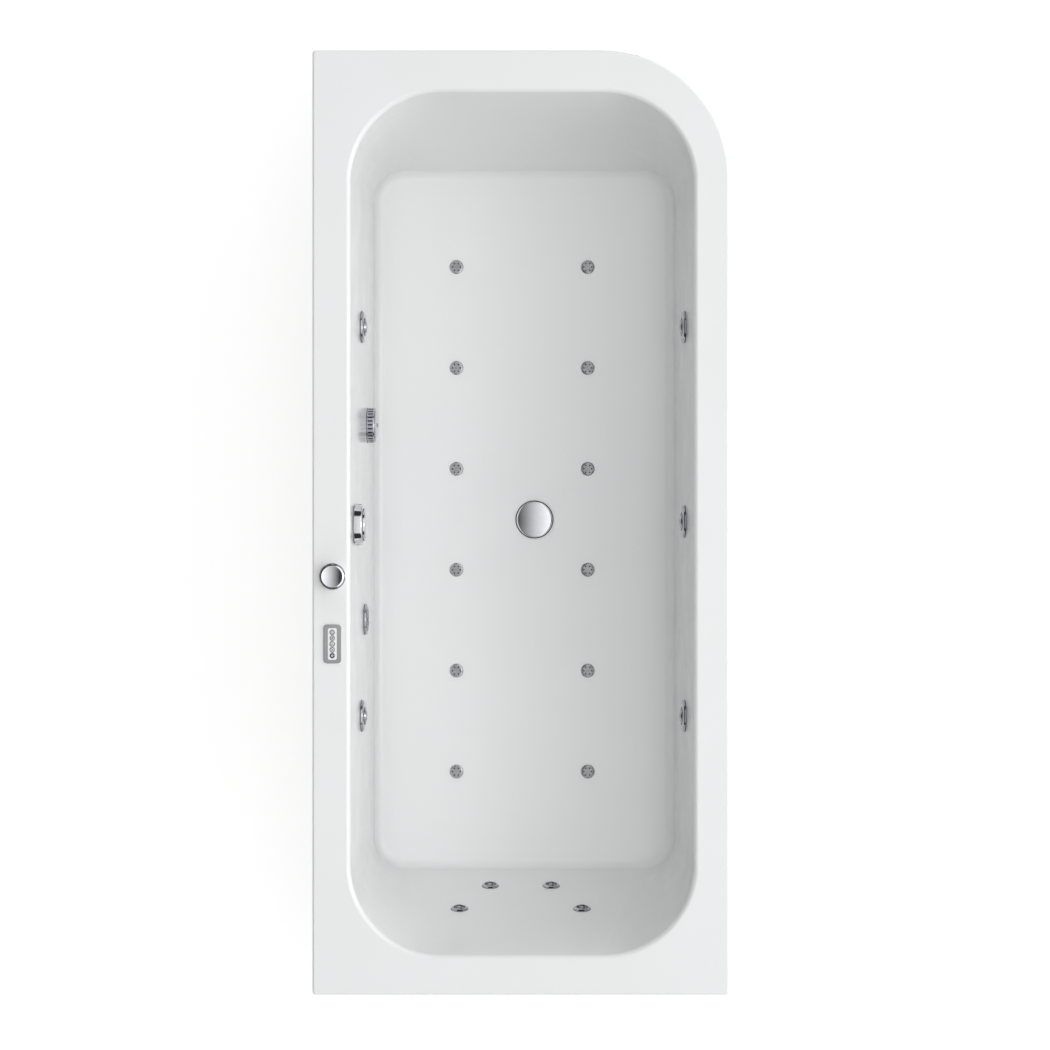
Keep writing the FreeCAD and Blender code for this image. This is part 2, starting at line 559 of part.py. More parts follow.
def closed_profile(sketch, points):
    """A closed outline. A point is (x, y), or (x, y, radius) where an arc leaves it for the next point;
    a positive radius bulges to the right of the way to the next point."""
    count = len(points)
    for index, point in enumerate(points):
        start = Vector(float(point[0]), float(point[1]), 0)
        after = points[(index + 1) % count]
        end = Vector(float(after[0]), float(after[1]), 0)
        if len(point) == 2:
            sketch.addGeometry(Part.LineSegment(start, end), False)
            continue
        way = end - start
        side = math.copysign(1.0, float(point[2]))
        radius = abs(float(point[2]))
        right = Vector(way.y, -way.x, 0).normalize() * side
        rise = radius - math.sqrt(radius * radius - way.Length * way.Length / 4)
        middle = (start + end) / 2 + right * rise
        sketch.addGeometry(arc_of(start, middle, end), False)
    for index, point in enumerate(points):
        first = 1 if len(point) == 2 or float(point[2]) > 0 else 2
        before = points[index - 1]
        last = 2 if len(before) == 2 or float(before[2]) > 0 else 1
        sketch.addConstraint(Sketcher.Constraint("Coincident", (index - 1) % count, last, index, first))
        hold(sketch, "DistanceX", index, first, point[0])
        hold(sketch, "DistanceY", index, first, point[1])
        if len(point) == 3:
            radius = point[2] if float(point[2]) > 0 else -point[2]
            hold(sketch, "Radius", index, radius)


def arc_of(start, middle, end):
    edge = Part.Arc(start, middle, end).toShape()
    circle = edge.Curve
    low = math.atan2(start.y - circle.Center.y, start.x - circle.Center.x)
    high = math.atan2(end.y - circle.Center.y, end.x - circle.Center.x)
    turning = (middle - start).cross(end - middle).z
    if turning < 0:
        low, high = high, low
    if high < low:
        high += 2 * math.pi
    return Part.ArcOfCircle(Part.Circle(circle.Center, Vector(0, 0, 1), circle.Radius), low, high)


def turned(name, points):
    """A piece turned about its own Z axis; the points are (radius, height)."""
    body = doc.addObject("PartDesign::Body", name)
    sketch = sketch_on(body, name + "_profile", "XZ_Plane")
    closed_profile(sketch, points)
    feature = body.newObject("PartDesign::Revolution", name + "_turned")
    feature.Profile = sketch
    feature.ReferenceAxis = (sketch, ["V_Axis"])
    feature.Angle = 360
    body.Tip = feature
    return body


def padded(name, bottom, tall, draw):
    """A piece of one thickness; draw fills its sketch."""
    body = doc.addObject("PartDesign::Body", name)
    sketch = sketch_on(body, name + "_outline", "XY_Plane", bottom)
    draw(sketch)
    feature = body.newObject("PartDesign::Pad", name + "_pad")
    feature.Profile = sketch
    bind(feature, "Length", tall)
    body.Tip = feature
    return body


# --- Frames on the basin walls ----------------------------------------------------------------------

WALLS = {
    "left": (left_edge, left_run, Vector(1, 0, 0)),
    "right": (right_edge, right_run, Vector(-1, 0, 0)),
    "foot": (foot_edge, foot_run, Vector(0, 1, 0)),
    "head": (head_edge, head_run, Vector(0, -1, 0)),
}


def wall_place(wall, along, height, depth=0.0):
    """A frame on a basin wall: Z points into the basin, Y up the wall, X level.
    A point at that depth behind the surface has the given height."""
    edge, run, inward = WALLS[wall]
    lean = float(run) / float(basin_depth)
    across = 1.0 / math.sqrt(1.0 + lean * lean)
    out = inward * across + Vector(0, 0, lean * across)
    up = inward * (-lean * across) + Vector(0, 0, across)
    level = up.cross(out)
    surface_z = float(height) + float(depth) * out.z
    reach = float(edge) + lean * (float(rim_top) - surface_z) * (inward.x + inward.y)
    side = Vector(0, 1, 0) if abs(inward.x) > 0.5 else Vector(1, 0, 0)
    origin = Vector(inward.x, inward.y, 0) * (inward.x + inward.y) * reach
    origin = origin + side * float(along) + Vector(0, 0, surface_z)
    return FreeCAD.Placement(origin, FreeCAD.Rotation(level, up, out, "ZXY"))


def floor_place(x, y, z=floor_top):
    return FreeCAD.Placement(Vector(float(x), float(y), float(z)), FreeCAD.Rotation())


# --- Pipes along a path -----------------------------------------------------------------------------

def pipe(name, points, radius, bend):
    """A round pipe along straight runs joined by tangent bends, as one solid."""
    radius = float(radius)
    points = [Vector(*(float(v) for v in p)) for p in points]
    pieces = []
    start = points[0]
    for index in range(1, len(points)):
        way = (points[index] - points[index - 1]).normalize()
        if index == len(points) - 1:
            pieces.append(Part.makeCylinder(radius, (points[index] - start).Length, start, way))
            break
        onward = (points[index + 1] - points[index]).normalize()
        turn = way.getAngle(onward)
        reach = float(bend) * math.tan(turn / 2)
        stop = points[index] - way * reach
        pieces.append(Part.makeCylinder(radius, (stop - start).Length, start, way))
        axis = way.cross(onward).normalize()
        centre = stop + axis.cross(way) * float(bend)
        disc = Part.Face(Part.Wire(Part.makeCircle(radius, stop, way)))
        pieces.append(disc.revolve(centre, axis, math.degrees(turn)))
        start = points[index] + onward * reach
    shape = pieces[0]
    if len(pieces) > 1:
        shape = shape.multiFuse(pieces[1:]).removeSplitter()
    thing = doc.addObject("Part::Feature", name)
    thing.Shape = shape
    return thing


# --- The moulded shell ------------------------------------------------------------------------------

def lean_factor(run):
    """Thickness measured level across a wall that leans."""
    return root(1 + run * run / (basin_depth * basin_depth))


def basin_sketch(body, name, level, reach, offset):
    """The basin outline at a level; reach is how far down the walls it lies, offset is outwards."""
    sketch = sketch_on(body, name, "XY_Plane", level)
    down = reach / basin_depth
    radius = opening_corner - (opening_corner - floor_corner) * down + offset
    rounded_outline(
        sketch,
        left_edge + left_run * down - lean_factor(left_run) * offset,
        right_edge - right_run * down + lean_factor(right_run) * offset,
        foot_edge + foot_run * down - lean_factor(foot_run) * offset,
        head_edge - head_run * down + lean_factor(head_run) * offset,
        [radius] * 4,
    )
    return sketch


def rim_sketch(body, name, level, offset):
    sketch = sketch_on(body, name, "XY_Plane", level)
    half_wide = bath_width / 2 - offset
    half_long = bath_length / 2 - offset
    small = rim_small_corner
    if float(offset):
        small = rim_small_corner / 2
    rounded_outline(sketch, -half_wide, half_wide, -half_long, half_long, [small, rim_corner - offset, small, small])
    return sketch


def level_edges(shape, level, inside=None):
    """Names of the edges that lie at one level, within a box if given."""
    names = []
    for index, edge in enumerate(shape.Edges, 1):
        box = edge.BoundBox
        if abs(box.ZMin - level) > 1e-4 or abs(box.ZMax - level) > 1e-4:
            continue
        if inside is None or inside(box):
            names.append(f"Edge{index}")
    return names


def rounded(body, base, name, edges, radius):
    feature = body.newObject("PartDesign::Fillet", name)
    feature.Base = (base, edges)
    bind(feature, "Radius", radius)
    doc.recompute()
    return feature


def moulded_shell():
    body = doc.addObject("PartDesign::Body", "moulding")
    rim = body.newObject("PartDesign::Pad", "rim")
    rim.Profile = rim_sketch(body, "rim_outline", rim_top - rim_lip, 0.0)
    bind(rim, "Length", rim_lip)
    hollow = body.newObject("PartDesign::Pocket", "rim_hollow")
    hollow.Profile = rim_sketch(body, "rim_inside", rim_top - rim_lip, shell_wall)
    hollow.Reversed = True
    bind(hollow, "Length", rim_lip - shell_wall)
    outside = body.newObject("PartDesign::AdditiveLoft", "basin_outside")
    outside.Profile = basin_sketch(body, "outside_top", rim_top, 0 * basin_depth, shell_wall)
    outside.Sections = [basin_sketch(body, "outside_floor", floor_under, basin_depth + shell_wall, shell_wall)]
    outside.Ruled = True
    inside = body.newObject("PartDesign::SubtractiveLoft", "basin_inside")
    inside.Profile = basin_sketch(body, "inside_top", rim_top, 0 * basin_depth, 0 * shell_wall)
    inside.Sections = [basin_sketch(body, "inside_floor", floor_top, basin_depth, 0 * shell_wall)]
    inside.Ruled = True
    doc.recompute()
    # the inner edge is rounded first, so that the outer rounding never meets it
    inside = rounded(body, inside, "floor_round", level_edges(inside.Shape, float(floor_top)), floor_round)
    inside = rounded(body, inside, "floor_round_outside", level_edges(inside.Shape, float(floor_under)),
                     floor_round + shell_wall)
    half_wide = float(bath_width) / 2 - 1
    half_long = float(bath_length) / 2 - 1

    def is_outer(box):
        at_side = max(abs(box.XMin), abs(box.XMax)) > half_wide
        return at_side or max(abs(box.YMin), abs(box.YMax)) > half_long

    top = float(rim_top)
    edge = level_edges(inside.Shape, top, lambda box: not is_outer(box))
    feature = rounded(body, inside, "opening_round", edge, opening_round)
    edge = level_edges(feature.Shape, top, is_outer)
    feature = rounded(body, feature, "rim_round", edge, rim_round)
    body.Tip = feature
    return body


# --- Pieces on the walls ----------------------------------------------------------------------------

def side_jets():
    places = []
    for wall in ("left", "right"):
        for step in (1, 0, -1):
            places.append(wall_place(wall, jet_shift + jet_pitch * step, jet_height, jet_line_depth))
    seat = jet_ball_radius + gap
    lip = jet_ring_tall - ring_lip_round
    mouth = root(seat * seat - lip * lip)
    bodies = []
    for number, place in enumerate(places, 1):
        ring = turned(f"jet_ring_{number}", [
            (mouth, -jet_shank_long),
            (jet_shank_radius, -jet_shank_long),
            (jet_shank_radius, gap),
            (jet_ring_radius, gap),
            (jet_ring_radius, jet_edge_tall, jet_ring_radius * ring_crown_share),
            (mouth + ring_lip_in, jet_ring_tall),
            (mouth + ring_lip_round, jet_ring_tall),
            (mouth, lip, -seat),
            (mouth, -lip),
        ])
        node(f"side_jet_ring_{number}", ring, place)
        back = root(jet_ball_radius * jet_ball_radius - jet_ball_back * jet_ball_back)
        shoulder = jet_ball_radius * ball_neck_share
        snout = jet_ball_radius * ball_snout_share
        nozzle = turned(f"jet_nozzle_{number}", [
            (jet_bore, -jet_ball_back),
            (back, -jet_ball_back, jet_ball_radius),
            (jet_ball_radius * ball_shoulder_share, shoulder),
            (snout, shoulder),
            (snout, jet_ball_front),
            (jet_bore, jet_ball_front),
        ])
        node(f"side_jet_nozzle_{number}", nozzle, place)
        bodies.append(jet_body(f"jet_body_{number}", place))
    node("side_jet_bodies", group("jet_bodies", bodies))
    return places


ALONG_X = FreeCAD.Rotation(Vector(0, 1, 0), 90)
ALONG_Y = FreeCAD.Rotation(Vector(1, 0, 0), -90)


def jet_body(name, place):
    """The body behind the wall: barrel, flange, water tee and air tee, bored for the ring's shank."""
    barrel_long = jet_line_depth
    socket = water_pipe_radius + socket_wall
    air_socket = air_tube_radius + air_socket_wall
    barrel = cylinder(name + "_barrel", jet_barrel_radius, barrel_long, z=-barrel_long)
    flange = cylinder(name + "_flange", jet_flange_radius, flange_thick, z=-(shell_wall + flange_thick))
    water = cylinder(name + "_water", socket, jet_line_half * 2, x=-jet_line_half, z=-jet_line_depth, turn=ALONG_X)
    rise = cylinder(name + "_rise", air_socket - leg_less, jet_air_rise, z=-jet_line_depth, turn=ALONG_Y)
    air = cylinder(name + "_air", air_socket, jet_air_half * 2, x=-jet_air_half, y=jet_air_rise,
                   z=-jet_line_depth, turn=ALONG_X)
    solid = fuse(name + "_solid", barrel, flange, water, rise, air)
    bore_long = jet_shank_long + shank_room
    bore = cylinder(name + "_bore", jet_shank_radius + running_fit, bore_long, z=-bore_long)
    thing = cut(name, solid, bore)
    thing.Placement = place
    return thing


def back_jets():
    places = []
    for pitch, height in ((back_high_pitch, back_high_height), (back_low_pitch, back_low_height)):
        for side in (-1, 1):
            places.append(wall_place("foot", pitch / 2 * side, height, back_line_depth))
    rings = []
    bodies = []
    for number, place in enumerate(places, 1):
        ring = turned(f"back_ring_{number}", [
            (back_ring_bore, 0),
            (back_ring_radius, 0),
            (back_ring_radius, back_ring_edge, back_ring_radius * back_crown_share),
            (back_ring_bore + back_ring_ease, back_ring_tall),
            (back_ring_bore, back_ring_tall - back_ring_ease),
        ])
        ring.Placement = place
        rings.append(ring)
        disc = turned(f"back_rotor_disc_{number}", [
            (0, -back_stem_long),
            (back_stem_radius, -back_stem_long),
            (back_stem_radius, gap),
            (back_rotor_radius, gap),
            (back_rotor_radius, back_rotor_tall - rotor_edge),
            (back_rotor_radius - rotor_edge, back_rotor_tall),
            (0, back_rotor_tall),
        ])
        holes = []
        for step in range(int(float(rotor_holes))):
            angle = 2 * math.pi * step / float(rotor_holes)
            holes.append(cylinder(f"back_rotor_hole_{number}_{step}", back_hole_radius, back_rotor_tall * 2,
                                  x=back_hole_ring * math.cos(angle), y=back_hole_ring * math.sin(angle)))
        node(f"back_jet_rotor_{number}", cut(f"back_rotor_{number}", disc, *holes), place)
        name = f"back_body_{number}"
        socket = branch_radius + back_socket_wall
        barrel = cylinder(name + "_barrel", back_barrel_radius, back_line_depth, z=-back_line_depth)
        flange = cylinder(name + "_flange", back_flange_radius, flange_thick, z=-(shell_wall + flange_thick))
        water = cylinder(name + "_water", socket, back_line_half * 2, x=-back_line_half, z=-back_line_depth,
                         turn=ALONG_X)
        bore_long = back_stem_long + bore_spare
        bore = cylinder(name + "_bore", back_stem_radius + running_fit, bore_long, z=-bore_long)
        body = cut(name, fuse(name + "_solid", barrel, flange, water), bore)
        body.Placement = place
        bodies.append(body)
    node("back_jet_rings", group("back_rings", rings))
    node("back_jet_bodies", group("back_bodies", bodies))
    return places


def overflow():
    place = wall_place("left", overflow_y, overflow_height)
    knob = turned("overflow_drum", [
        (0, -overflow_shaft_long),
        (overflow_shaft_radius, -overflow_shaft_long),
        (overflow_shaft_radius, overflow_slot + overflow_recess),
        (overflow_radius - overflow_rim, overflow_slot + overflow_recess),
        (overflow_radius - overflow_rim, overflow_slot),
        (overflow_radius, overflow_slot),
        (overflow_radius, overflow_tall - overflow_edge, overflow_edge),
        (overflow_radius - overflow_edge, overflow_tall),
        (0, overflow_tall),
    ])
    node("overflow_knob", knob, place)
    socket = hose_radius + hose_wall
    depth = shell_wall + socket + gap * 2
    bearing = overflow_shaft_radius + overflow_bearing
    plate = turned("overflow_plate", [
        (overflow_plate_radius - overflow_lip, 0),
        (overflow_plate_radius, 0),
        (overflow_plate_radius, overflow_plate_tall),
        (overflow_plate_radius - overflow_lip, overflow_plate_tall),
    ])
    barrel = cylinder("overflow_barrel", overflow_barrel_radius, depth + overflow_plate_tall, z=-depth)
    plate_disc = cylinder("overflow_plate_disc", overflow_plate_radius - overflow_lip / 2, overflow_plate_tall)
    flange = cylinder("overflow_flange", jet_flange_radius, flange_thick, z=-(shell_wall + flange_thick))
    arm = hose_step + hose_radius + arm_spare
    spigot = cylinder("overflow_spigot", socket, arm, x=-arm, z=-depth, turn=ALONG_X)
    drop_reach = hose_radius + drop_long
    drop = cylinder("overflow_drop", socket - leg_less, drop_reach, x=-hose_step, y=-drop_reach, z=-depth,
                    turn=ALONG_Y)
    hollow = cylinder("overflow_hollow", overflow_barrel_radius - overflow_wall, depth, z=-(depth - overflow_floor))
    hub = cylinder("overflow_hub", bearing, depth - hub_back + overflow_plate_tall, z=-(depth - hub_back))
    rib = block("overflow_rib", (overflow_barrel_radius - overflow_wall / 2) * 2, overflow_wall,
                depth - overflow_wall, z=-(depth - overflow_wall))
    shell = cut("overflow_shell", fuse("overflow_solid", barrel, plate, plate_disc, flange, spigot, drop), hollow)
    bore = cylinder("overflow_bore", overflow_shaft_radius + running_fit, overflow_shaft_long + shaft_spare,
                    z=-(overflow_shaft_long + 1))
    body = cut("overflow_elbow", fuse("overflow_ribbed", shell, hub, rib), bore)
    node("overflow_body", body, place)
    return place, depth


def suction():
    place = wall_place("left", suction_y, suction_height, suction_line_depth)
    inner = strainer_radius - strainer_wall
    crown = strainer_crown
    cup = turned("strainer_cup", [
        (0, strainer_tall - strainer_wall),
        (inner, strainer_tall - crown),
        (inner, 0),
        (strainer_radius, 0),
        (strainer_radius, strainer_tall - crown, crown + weld),
        (strainer_radius - crown, strainer_tall, dome(strainer_radius - crown, strainer_dome)),
        (0, strainer_tall + strainer_dome),
    ])
    slots = []
    for step in range(int(float(strainer_slots) / 2)):
        slot = doc.addObject("Part::Box", f"strainer_slot_{step}")
        bind(slot, "Length", (strainer_radius + slot_over) * 2)
        bind(slot, "Width", strainer_slot_wide)
        bind(slot, "Height", strainer_tall - crown * 2)
        turn = FreeCAD.Rotation(Vector(0, 0, 1), 360.0 * step / float(strainer_slots))
        corner = turn.multVec(Vector(-float(strainer_radius + slot_over), -float(strainer_slot_wide) / 2, 0))
        slot.Placement = FreeCAD.Placement(Vector(corner.x, corner.y, float(slot_foot)), turn)
        slots.append(slot)
    post = cylinder("strainer_post", post_radius, strainer_tall + post_back - strainer_wall + strainer_face, z=-post_back)
    node("suction_strainer", fuse("strainer", cut("strainer_slotted", cup, *slots), post), place)
    socket = suction_pipe_radius + socket_wall
    barrel = cylinder("suction_barrel", suction_barrel_radius, suction_line_depth, z=-suction_line_depth)
    flange = cylinder("suction_flange", suction_flange_radius, flange_thick, z=-(shell_wall + flange_thick))
    elbow = cylinder("suction_elbow", socket, suction_line_half + socket, x=-socket, z=-suction_line_depth,
                     turn=ALONG_X)
    solid = fuse("suction_solid", barrel, flange, elbow)
    mouth = cylinder("suction_mouth", suction_barrel_radius - suction_wall, suction_line_depth,
                     z=-suction_line_depth)
    boss = cylinder("suction_boss", boss_radius, suction_line_depth - post_back, z=-suction_line_depth)
    body = fuse("suction_fitting", cut("suction_bored", solid, mouth), boss)
    node("suction_body", body, place)
    return place


def light():
    place = wall_place("left", light_y, light_height)
    recess = lens_recess
    bezel = turned("light_fitting", [
        (0, -light_barrel_long),
        (light_barrel_radius, -light_barrel_long),
        (light_barrel_radius, 0),
        (light_radius, 0),
        (light_radius, light_tall - light_ease, light_ease),
        (light_radius - light_ease, light_tall),
        (lens_radius + gap, light_tall),
        (lens_radius + gap, recess),
        (0, recess),
    ])
    nut = cylinder("light_nut", light_barrel_radius + light_nut_wide, flange_thick, z=-(shell_wall + flange_thick))
    node("light_bezel", fuse("light_fitting_nut", bezel, nut), place)
    lens = turned("light_glass", [
        (0, recess),
        (lens_radius, recess),
        (lens_radius, light_tall, dome(lens_radius, lens_tall - light_tall)),
        (0, lens_tall),
    ])
    node("light_lens", lens, place)
    return place


# --- Floor fittings ---------------------------------------------------------------------------------

def air_jets():
    spots = []
    for row in (air_left, air_right):
        for step in range(int(float(air_count))):
            spots.append((row, air_first + air_pitch * step))
    caps = []
    bodies = []
    down = floor_top - board_under + air_pipe_drop
    for number, (x, y) in enumerate(spots, 1):
        disc = turned(f"air_disc_{number}", [
            (0, -air_shank_long),
            (air_shank_radius, -air_shank_long),
            (air_shank_radius, 0),
            (air_cap_radius, 0),
            (air_cap_radius, air_cap_tall * air_edge_share, air_cap_radius * air_crown_share),
            (air_cap_radius * air_flat_share, air_cap_tall),
            (0, air_cap_tall),
        ])
        holes = []
        for step in range(int(float(air_hole_count))):
            angle = 2 * math.pi * step / float(air_hole_count)
            holes.append(cylinder(f"air_hole_{number}_{step}", air_hole_radius, air_cap_tall * 2,
                                  x=air_hole_ring * math.cos(angle), y=air_hole_ring * math.sin(angle),
                                  z=-air_cap_tall / 2))
        cap = cut(f"air_cap_{number}", disc, *holes)
        cap.Placement = floor_place(x, y)
        caps.append(cap)
        barrel = cylinder(f"air_barrel_{number}", air_body_radius, down, z=-down)
        nut = cylinder(f"air_nut_{number}", air_nut_radius, air_nut_tall, z=board_under - floor_top - air_nut_tall)
        bore = cylinder(f"air_bore_{number}", air_hole_ring + air_hole_radius, down - air_pipe_drop,
                        z=-(down - air_pipe_drop))
        seat_long = down - air_pipe_drop + air_seat_more
        seat = cylinder(f"air_seat_{number}", air_shank_radius + air_seat_wall, seat_long, z=-seat_long)
        saddle = cylinder(f"air_saddle_{number}", air_pipe_radius, air_nut_radius * 4, y=-air_nut_radius * 2,
                          z=-down, turn=ALONG_Y)
        post = cut(f"air_post_{number}", seat, cylinder(f"air_socket_{number}", air_shank_radius, air_shank_long,
                                                        z=-air_shank_long))
        spider = block(f"air_spider_{number}", (air_hole_ring + air_hole_radius) * 2, air_web,
                       down - air_pipe_drop - air_web * 2, z=-(down - air_pipe_drop - air_web))
        spider_cut = cut(f"air_spider_open_{number}", spider,
                         cylinder(f"air_spider_bore_{number}", air_shank_radius, down * 2, z=-down))
        solid = fuse(f"air_solid_{number}", barrel, nut)
        hollow = cut(f"air_hollow_{number}", solid, bore)
        body = cut(f"air_body_{number}", fuse(f"air_inside_{number}", hollow, post, spider_cut), saddle)
        body.Placement = floor_place(x, y)
        bodies.append(body)
    node("air_jet_caps", group("air_caps", caps))
    node("air_jet_bodies", group("air_bodies", bodies))
    return spots


def waste():
    place = floor_place(waste_x, waste_y)
    flange = turned("waste_ring", [
        (waste_bore, -(floor_top - board_under)),
        (waste_shank_radius, -(floor_top - board_under)),
        (waste_shank_radius, 0),
        (waste_flange_radius, 0),
        (waste_flange_radius, waste_flange_tall - waste_ease, waste_ease),
        (waste_flange_radius - waste_ease, waste_flange_tall),
        (waste_bore + waste_seat_wide, waste_flange_tall - waste_seat_drop),
        (waste_bore, waste_flange_tall - waste_seat_deep),
    ])
    hub = cylinder("waste_hub", cap_stem_radius + guide_wall, guide_down - guide_short, z=-guide_down)
    bars = []
    for step in range(3):
        bar = doc.addObject("Part::Box", f"waste_bar_{step}")
        bind(bar, "Length", waste_bore + 1)
        bind(bar, "Width", guide_wall)
        bind(bar, "Height", guide_tall)
        turn = FreeCAD.Rotation(Vector(0, 0, 1), 120.0 * step)
        corner = turn.multVec(Vector(0, -float(guide_wall) / 2, 0))
        bar.Placement = FreeCAD.Placement(Vector(corner.x, corner.y, -float(guide_down)), turn)
        bars.append(bar)
    bore = cylinder("waste_guide", cap_stem_radius + running_fit, guide_down * 2, z=-guide_down * 1.5)
    node("waste_flange", cut("waste_fitting", fuse("waste_solid", flange, hub, *bars), bore), place)
    cap = turned("waste_dome", [
        (0, -(cap_stem_long - waste_flange_tall)),
        (cap_stem_radius, -(cap_stem_long - waste_flange_tall)),
        (cap_stem_radius, waste_flange_tall + gap),
        (cap_radius, waste_flange_tall + gap),
        (cap_radius, waste_flange_tall + cap_edge, dome(cap_radius, cap_tall - cap_edge)),
        (0, waste_flange_tall + cap_tall),
    ])
    node("waste_cap", cap, place)
    neck_top = board_under
    neck = cylinder("trap_neck", waste_shank_radius + neck_wall, neck_top - trap_top + 1, x=waste_x, y=waste_y,
                    z=trap_top - 1)
    collar = cylinder("trap_collar", waste_shank_radius + collar_wide, trap_collar_tall, x=waste_x, y=waste_y,
                      z=neck_top - trap_collar_tall)
    cup = turned("trap_cup", [
        (0, trap_bottom),
        (trap_radius - trap_round, trap_bottom, trap_round),
        (trap_radius, trap_bottom + trap_round),
        (trap_radius, trap_top),
        (0, trap_top),
    ])
    put(cup, waste_x, waste_y)
    reach = trap_radius + shoulder_long
    shoulder = cylinder("trap_shoulder", outlet_radius + outlet_shoulder, reach, x=waste_x, y=waste_y,
                        z=waste_pipe_height, turn=ALONG_X)
    outlet = cylinder("trap_outlet", outlet_radius, reach + outlet_long, x=waste_x, y=waste_y,
                      z=waste_pipe_height, turn=ALONG_X)
    side_long = trap_radius + side_inlet_long
    side = cylinder("trap_side", hose_radius + socket_wall, side_long, x=waste_x, y=waste_y - side_long,
                    z=waste_pipe_height, turn=ALONG_Y)
    solid = fuse("trap_solid", neck, collar, cup, shoulder, outlet, side)
    well = cylinder("trap_well", waste_shank_radius + gap, board_under - trap_top + collar_wide, x=waste_x, y=waste_y,
                    z=trap_top - collar_wide)
    outlet_bore = cylinder("trap_outlet_bore", outlet_radius - outlet_wall, outlet_long + shoulder_long,
                           x=waste_x + trap_radius, y=waste_y, z=waste_pipe_height, turn=ALONG_X)
    node("waste_trap", cut("trap", solid, well, outlet_bore))


# --- Controls on the rim ----------------------------------------------------------------------------

def air_control():
    place = floor_place(knob_x, knob_y, rim_top)
    body = turned("control_body", [
        (0, -control_barrel_long),
        (control_barrel_radius, -control_barrel_long),
        (control_barrel_radius, 0),
        (collar_radius, 0),
        (collar_radius, collar_tall - 1, 1),
        (collar_radius - 1, collar_tall),
        (knob_stem_radius + running_fit, collar_tall),
        (knob_stem_radius + running_fit, -knob_stem_long),
        (0, -knob_stem_long),
    ])
    nut = cut("control_nut", cylinder("control_nut_disc", control_barrel_radius + control_nut_wide, flange_thick,
                                      z=-(shell_wall + flange_thick)),
              cylinder("control_nut_bore", control_barrel_radius - 1, 40, z=-30))
    node("air_control_body", fuse("control_fitting", body, nut), place)
    top = collar_tall + gap + knob_tall
    knob = turned("knob_turned", [
        (0, -knob_stem_long + 1),
        (knob_stem_radius, -knob_stem_long + 1),
        (knob_stem_radius, collar_tall + gap),
        (knob_radius + knob_flare, collar_tall + gap),
        (knob_radius, top - knob_round, knob_round),
        (knob_radius - knob_round, top),
        (knob_radius - dish_in, top - dish_lip, -dome(knob_radius - dish_in, knob_dish - dish_lip)),
        (0, top - knob_dish),
    ])
    scallops = []
    way = knob_radius + scallop_radius
    for step in range(int(float(scallop_count))):
        angle = 2 * math.pi * step / float(scallop_count)
        scallops.append(cylinder(f"knob_scallop_{step}", scallop_radius, knob_tall - scallop_up,
                                 x=way * math.cos(angle), y=way * math.sin(angle), z=collar_tall))
    node("air_control_knob", cut("knob", knob, *scallops), place)


def panel():
    def outline(wide, long, corner):
        def draw(sketch):
            rounded_outline(sketch, panel_x - wide / 2, panel_x + wide / 2, panel_y - long / 2, panel_y + long / 2,
                            [corner] * 4)
        return draw

    frame_top = rim_top + panel_tall
    frame = padded("panel_plate", rim_top, panel_tall, outline(panel_wide, panel_long, panel_corner))
    doc.recompute()
    frame.Tip = rounded(frame, frame.Tip, "panel_plate_round", level_edges(frame.Shape, float(frame_top)),
                        panel_tall / 2)
    under = padded("panel_under", rim_top - panel_body_deep, panel_body_deep,
                   outline(panel_body_wide, panel_body_long, fascia_corner + 1))
    recess = padded("panel_recess", frame_top - fascia_thick, fascia_thick + 1,
                    outline(fascia_wide + 0.2, fascia_long + 0.2, fascia_corner))
    fascia = padded("fascia_plate", frame_top - fascia_thick, fascia_thick,
                    outline(fascia_wide, fascia_long, fascia_corner))
    pockets = []
    holes = []
    deep = button_deep + button_travel + gap
    for step in range(int(float(button_count))):
        y = panel_y + button_pitch * (step - (float(button_count) - 1) / 2)
        number = step + 1
        pockets.append(cylinder(f"button_pocket_{number}", button_radius + gap / 2, deep + 1, x=panel_x, y=y,
                                z=frame_top - deep))
        holes.append(cylinder(f"button_hole_{number}", button_radius + gap / 2, fascia_thick + 2, x=panel_x, y=y,
                              z=frame_top - fascia_thick - 1))
        button = turned(f"button_{number}", [
            (0, -button_deep),
            (button_radius, -button_deep),
            (button_radius, button_proud - 0.5, 0.5),
            (button_radius - 0.5, button_proud),
            (0, button_proud),
        ])
        node(f"panel_button_{number}", put(button, panel_x, y, frame_top))
    node("panel_frame", cut("panel_housing", fuse("panel_solid", frame, under), recess, *pockets))
    node("panel_fascia", cut("fascia", fascia, *holes))


# --- Cradle -----------------------------------------------------------------------------------------

def floor_board(spots):
    left = left_edge + left_run + board_inset
    right = right_edge - right_run - board_inset
    low = foot_edge + foot_run + board_inset
    high = head_edge - head_run - board_inset

    def outline(sketch):
        rounded_outline(sketch, left, right, low, high, [board_inset] * 4)

    board = padded("board", board_under, board_thick, outline)
    tools = [cylinder("board_waste_hole", waste_shank_radius + 8, board_thick * 2, x=waste_x, y=waste_y,
                      z=board_under - board_thick / 2)]
    for number, (x, y) in enumerate(spots, 1):
        tools.append(cylinder(f"board_hole_{number}", air_body_radius + gap, board_thick * 2, x=x, y=y,
                              z=board_under - board_thick / 2))
    node("base_board", cut("board_drilled", board, *tools))


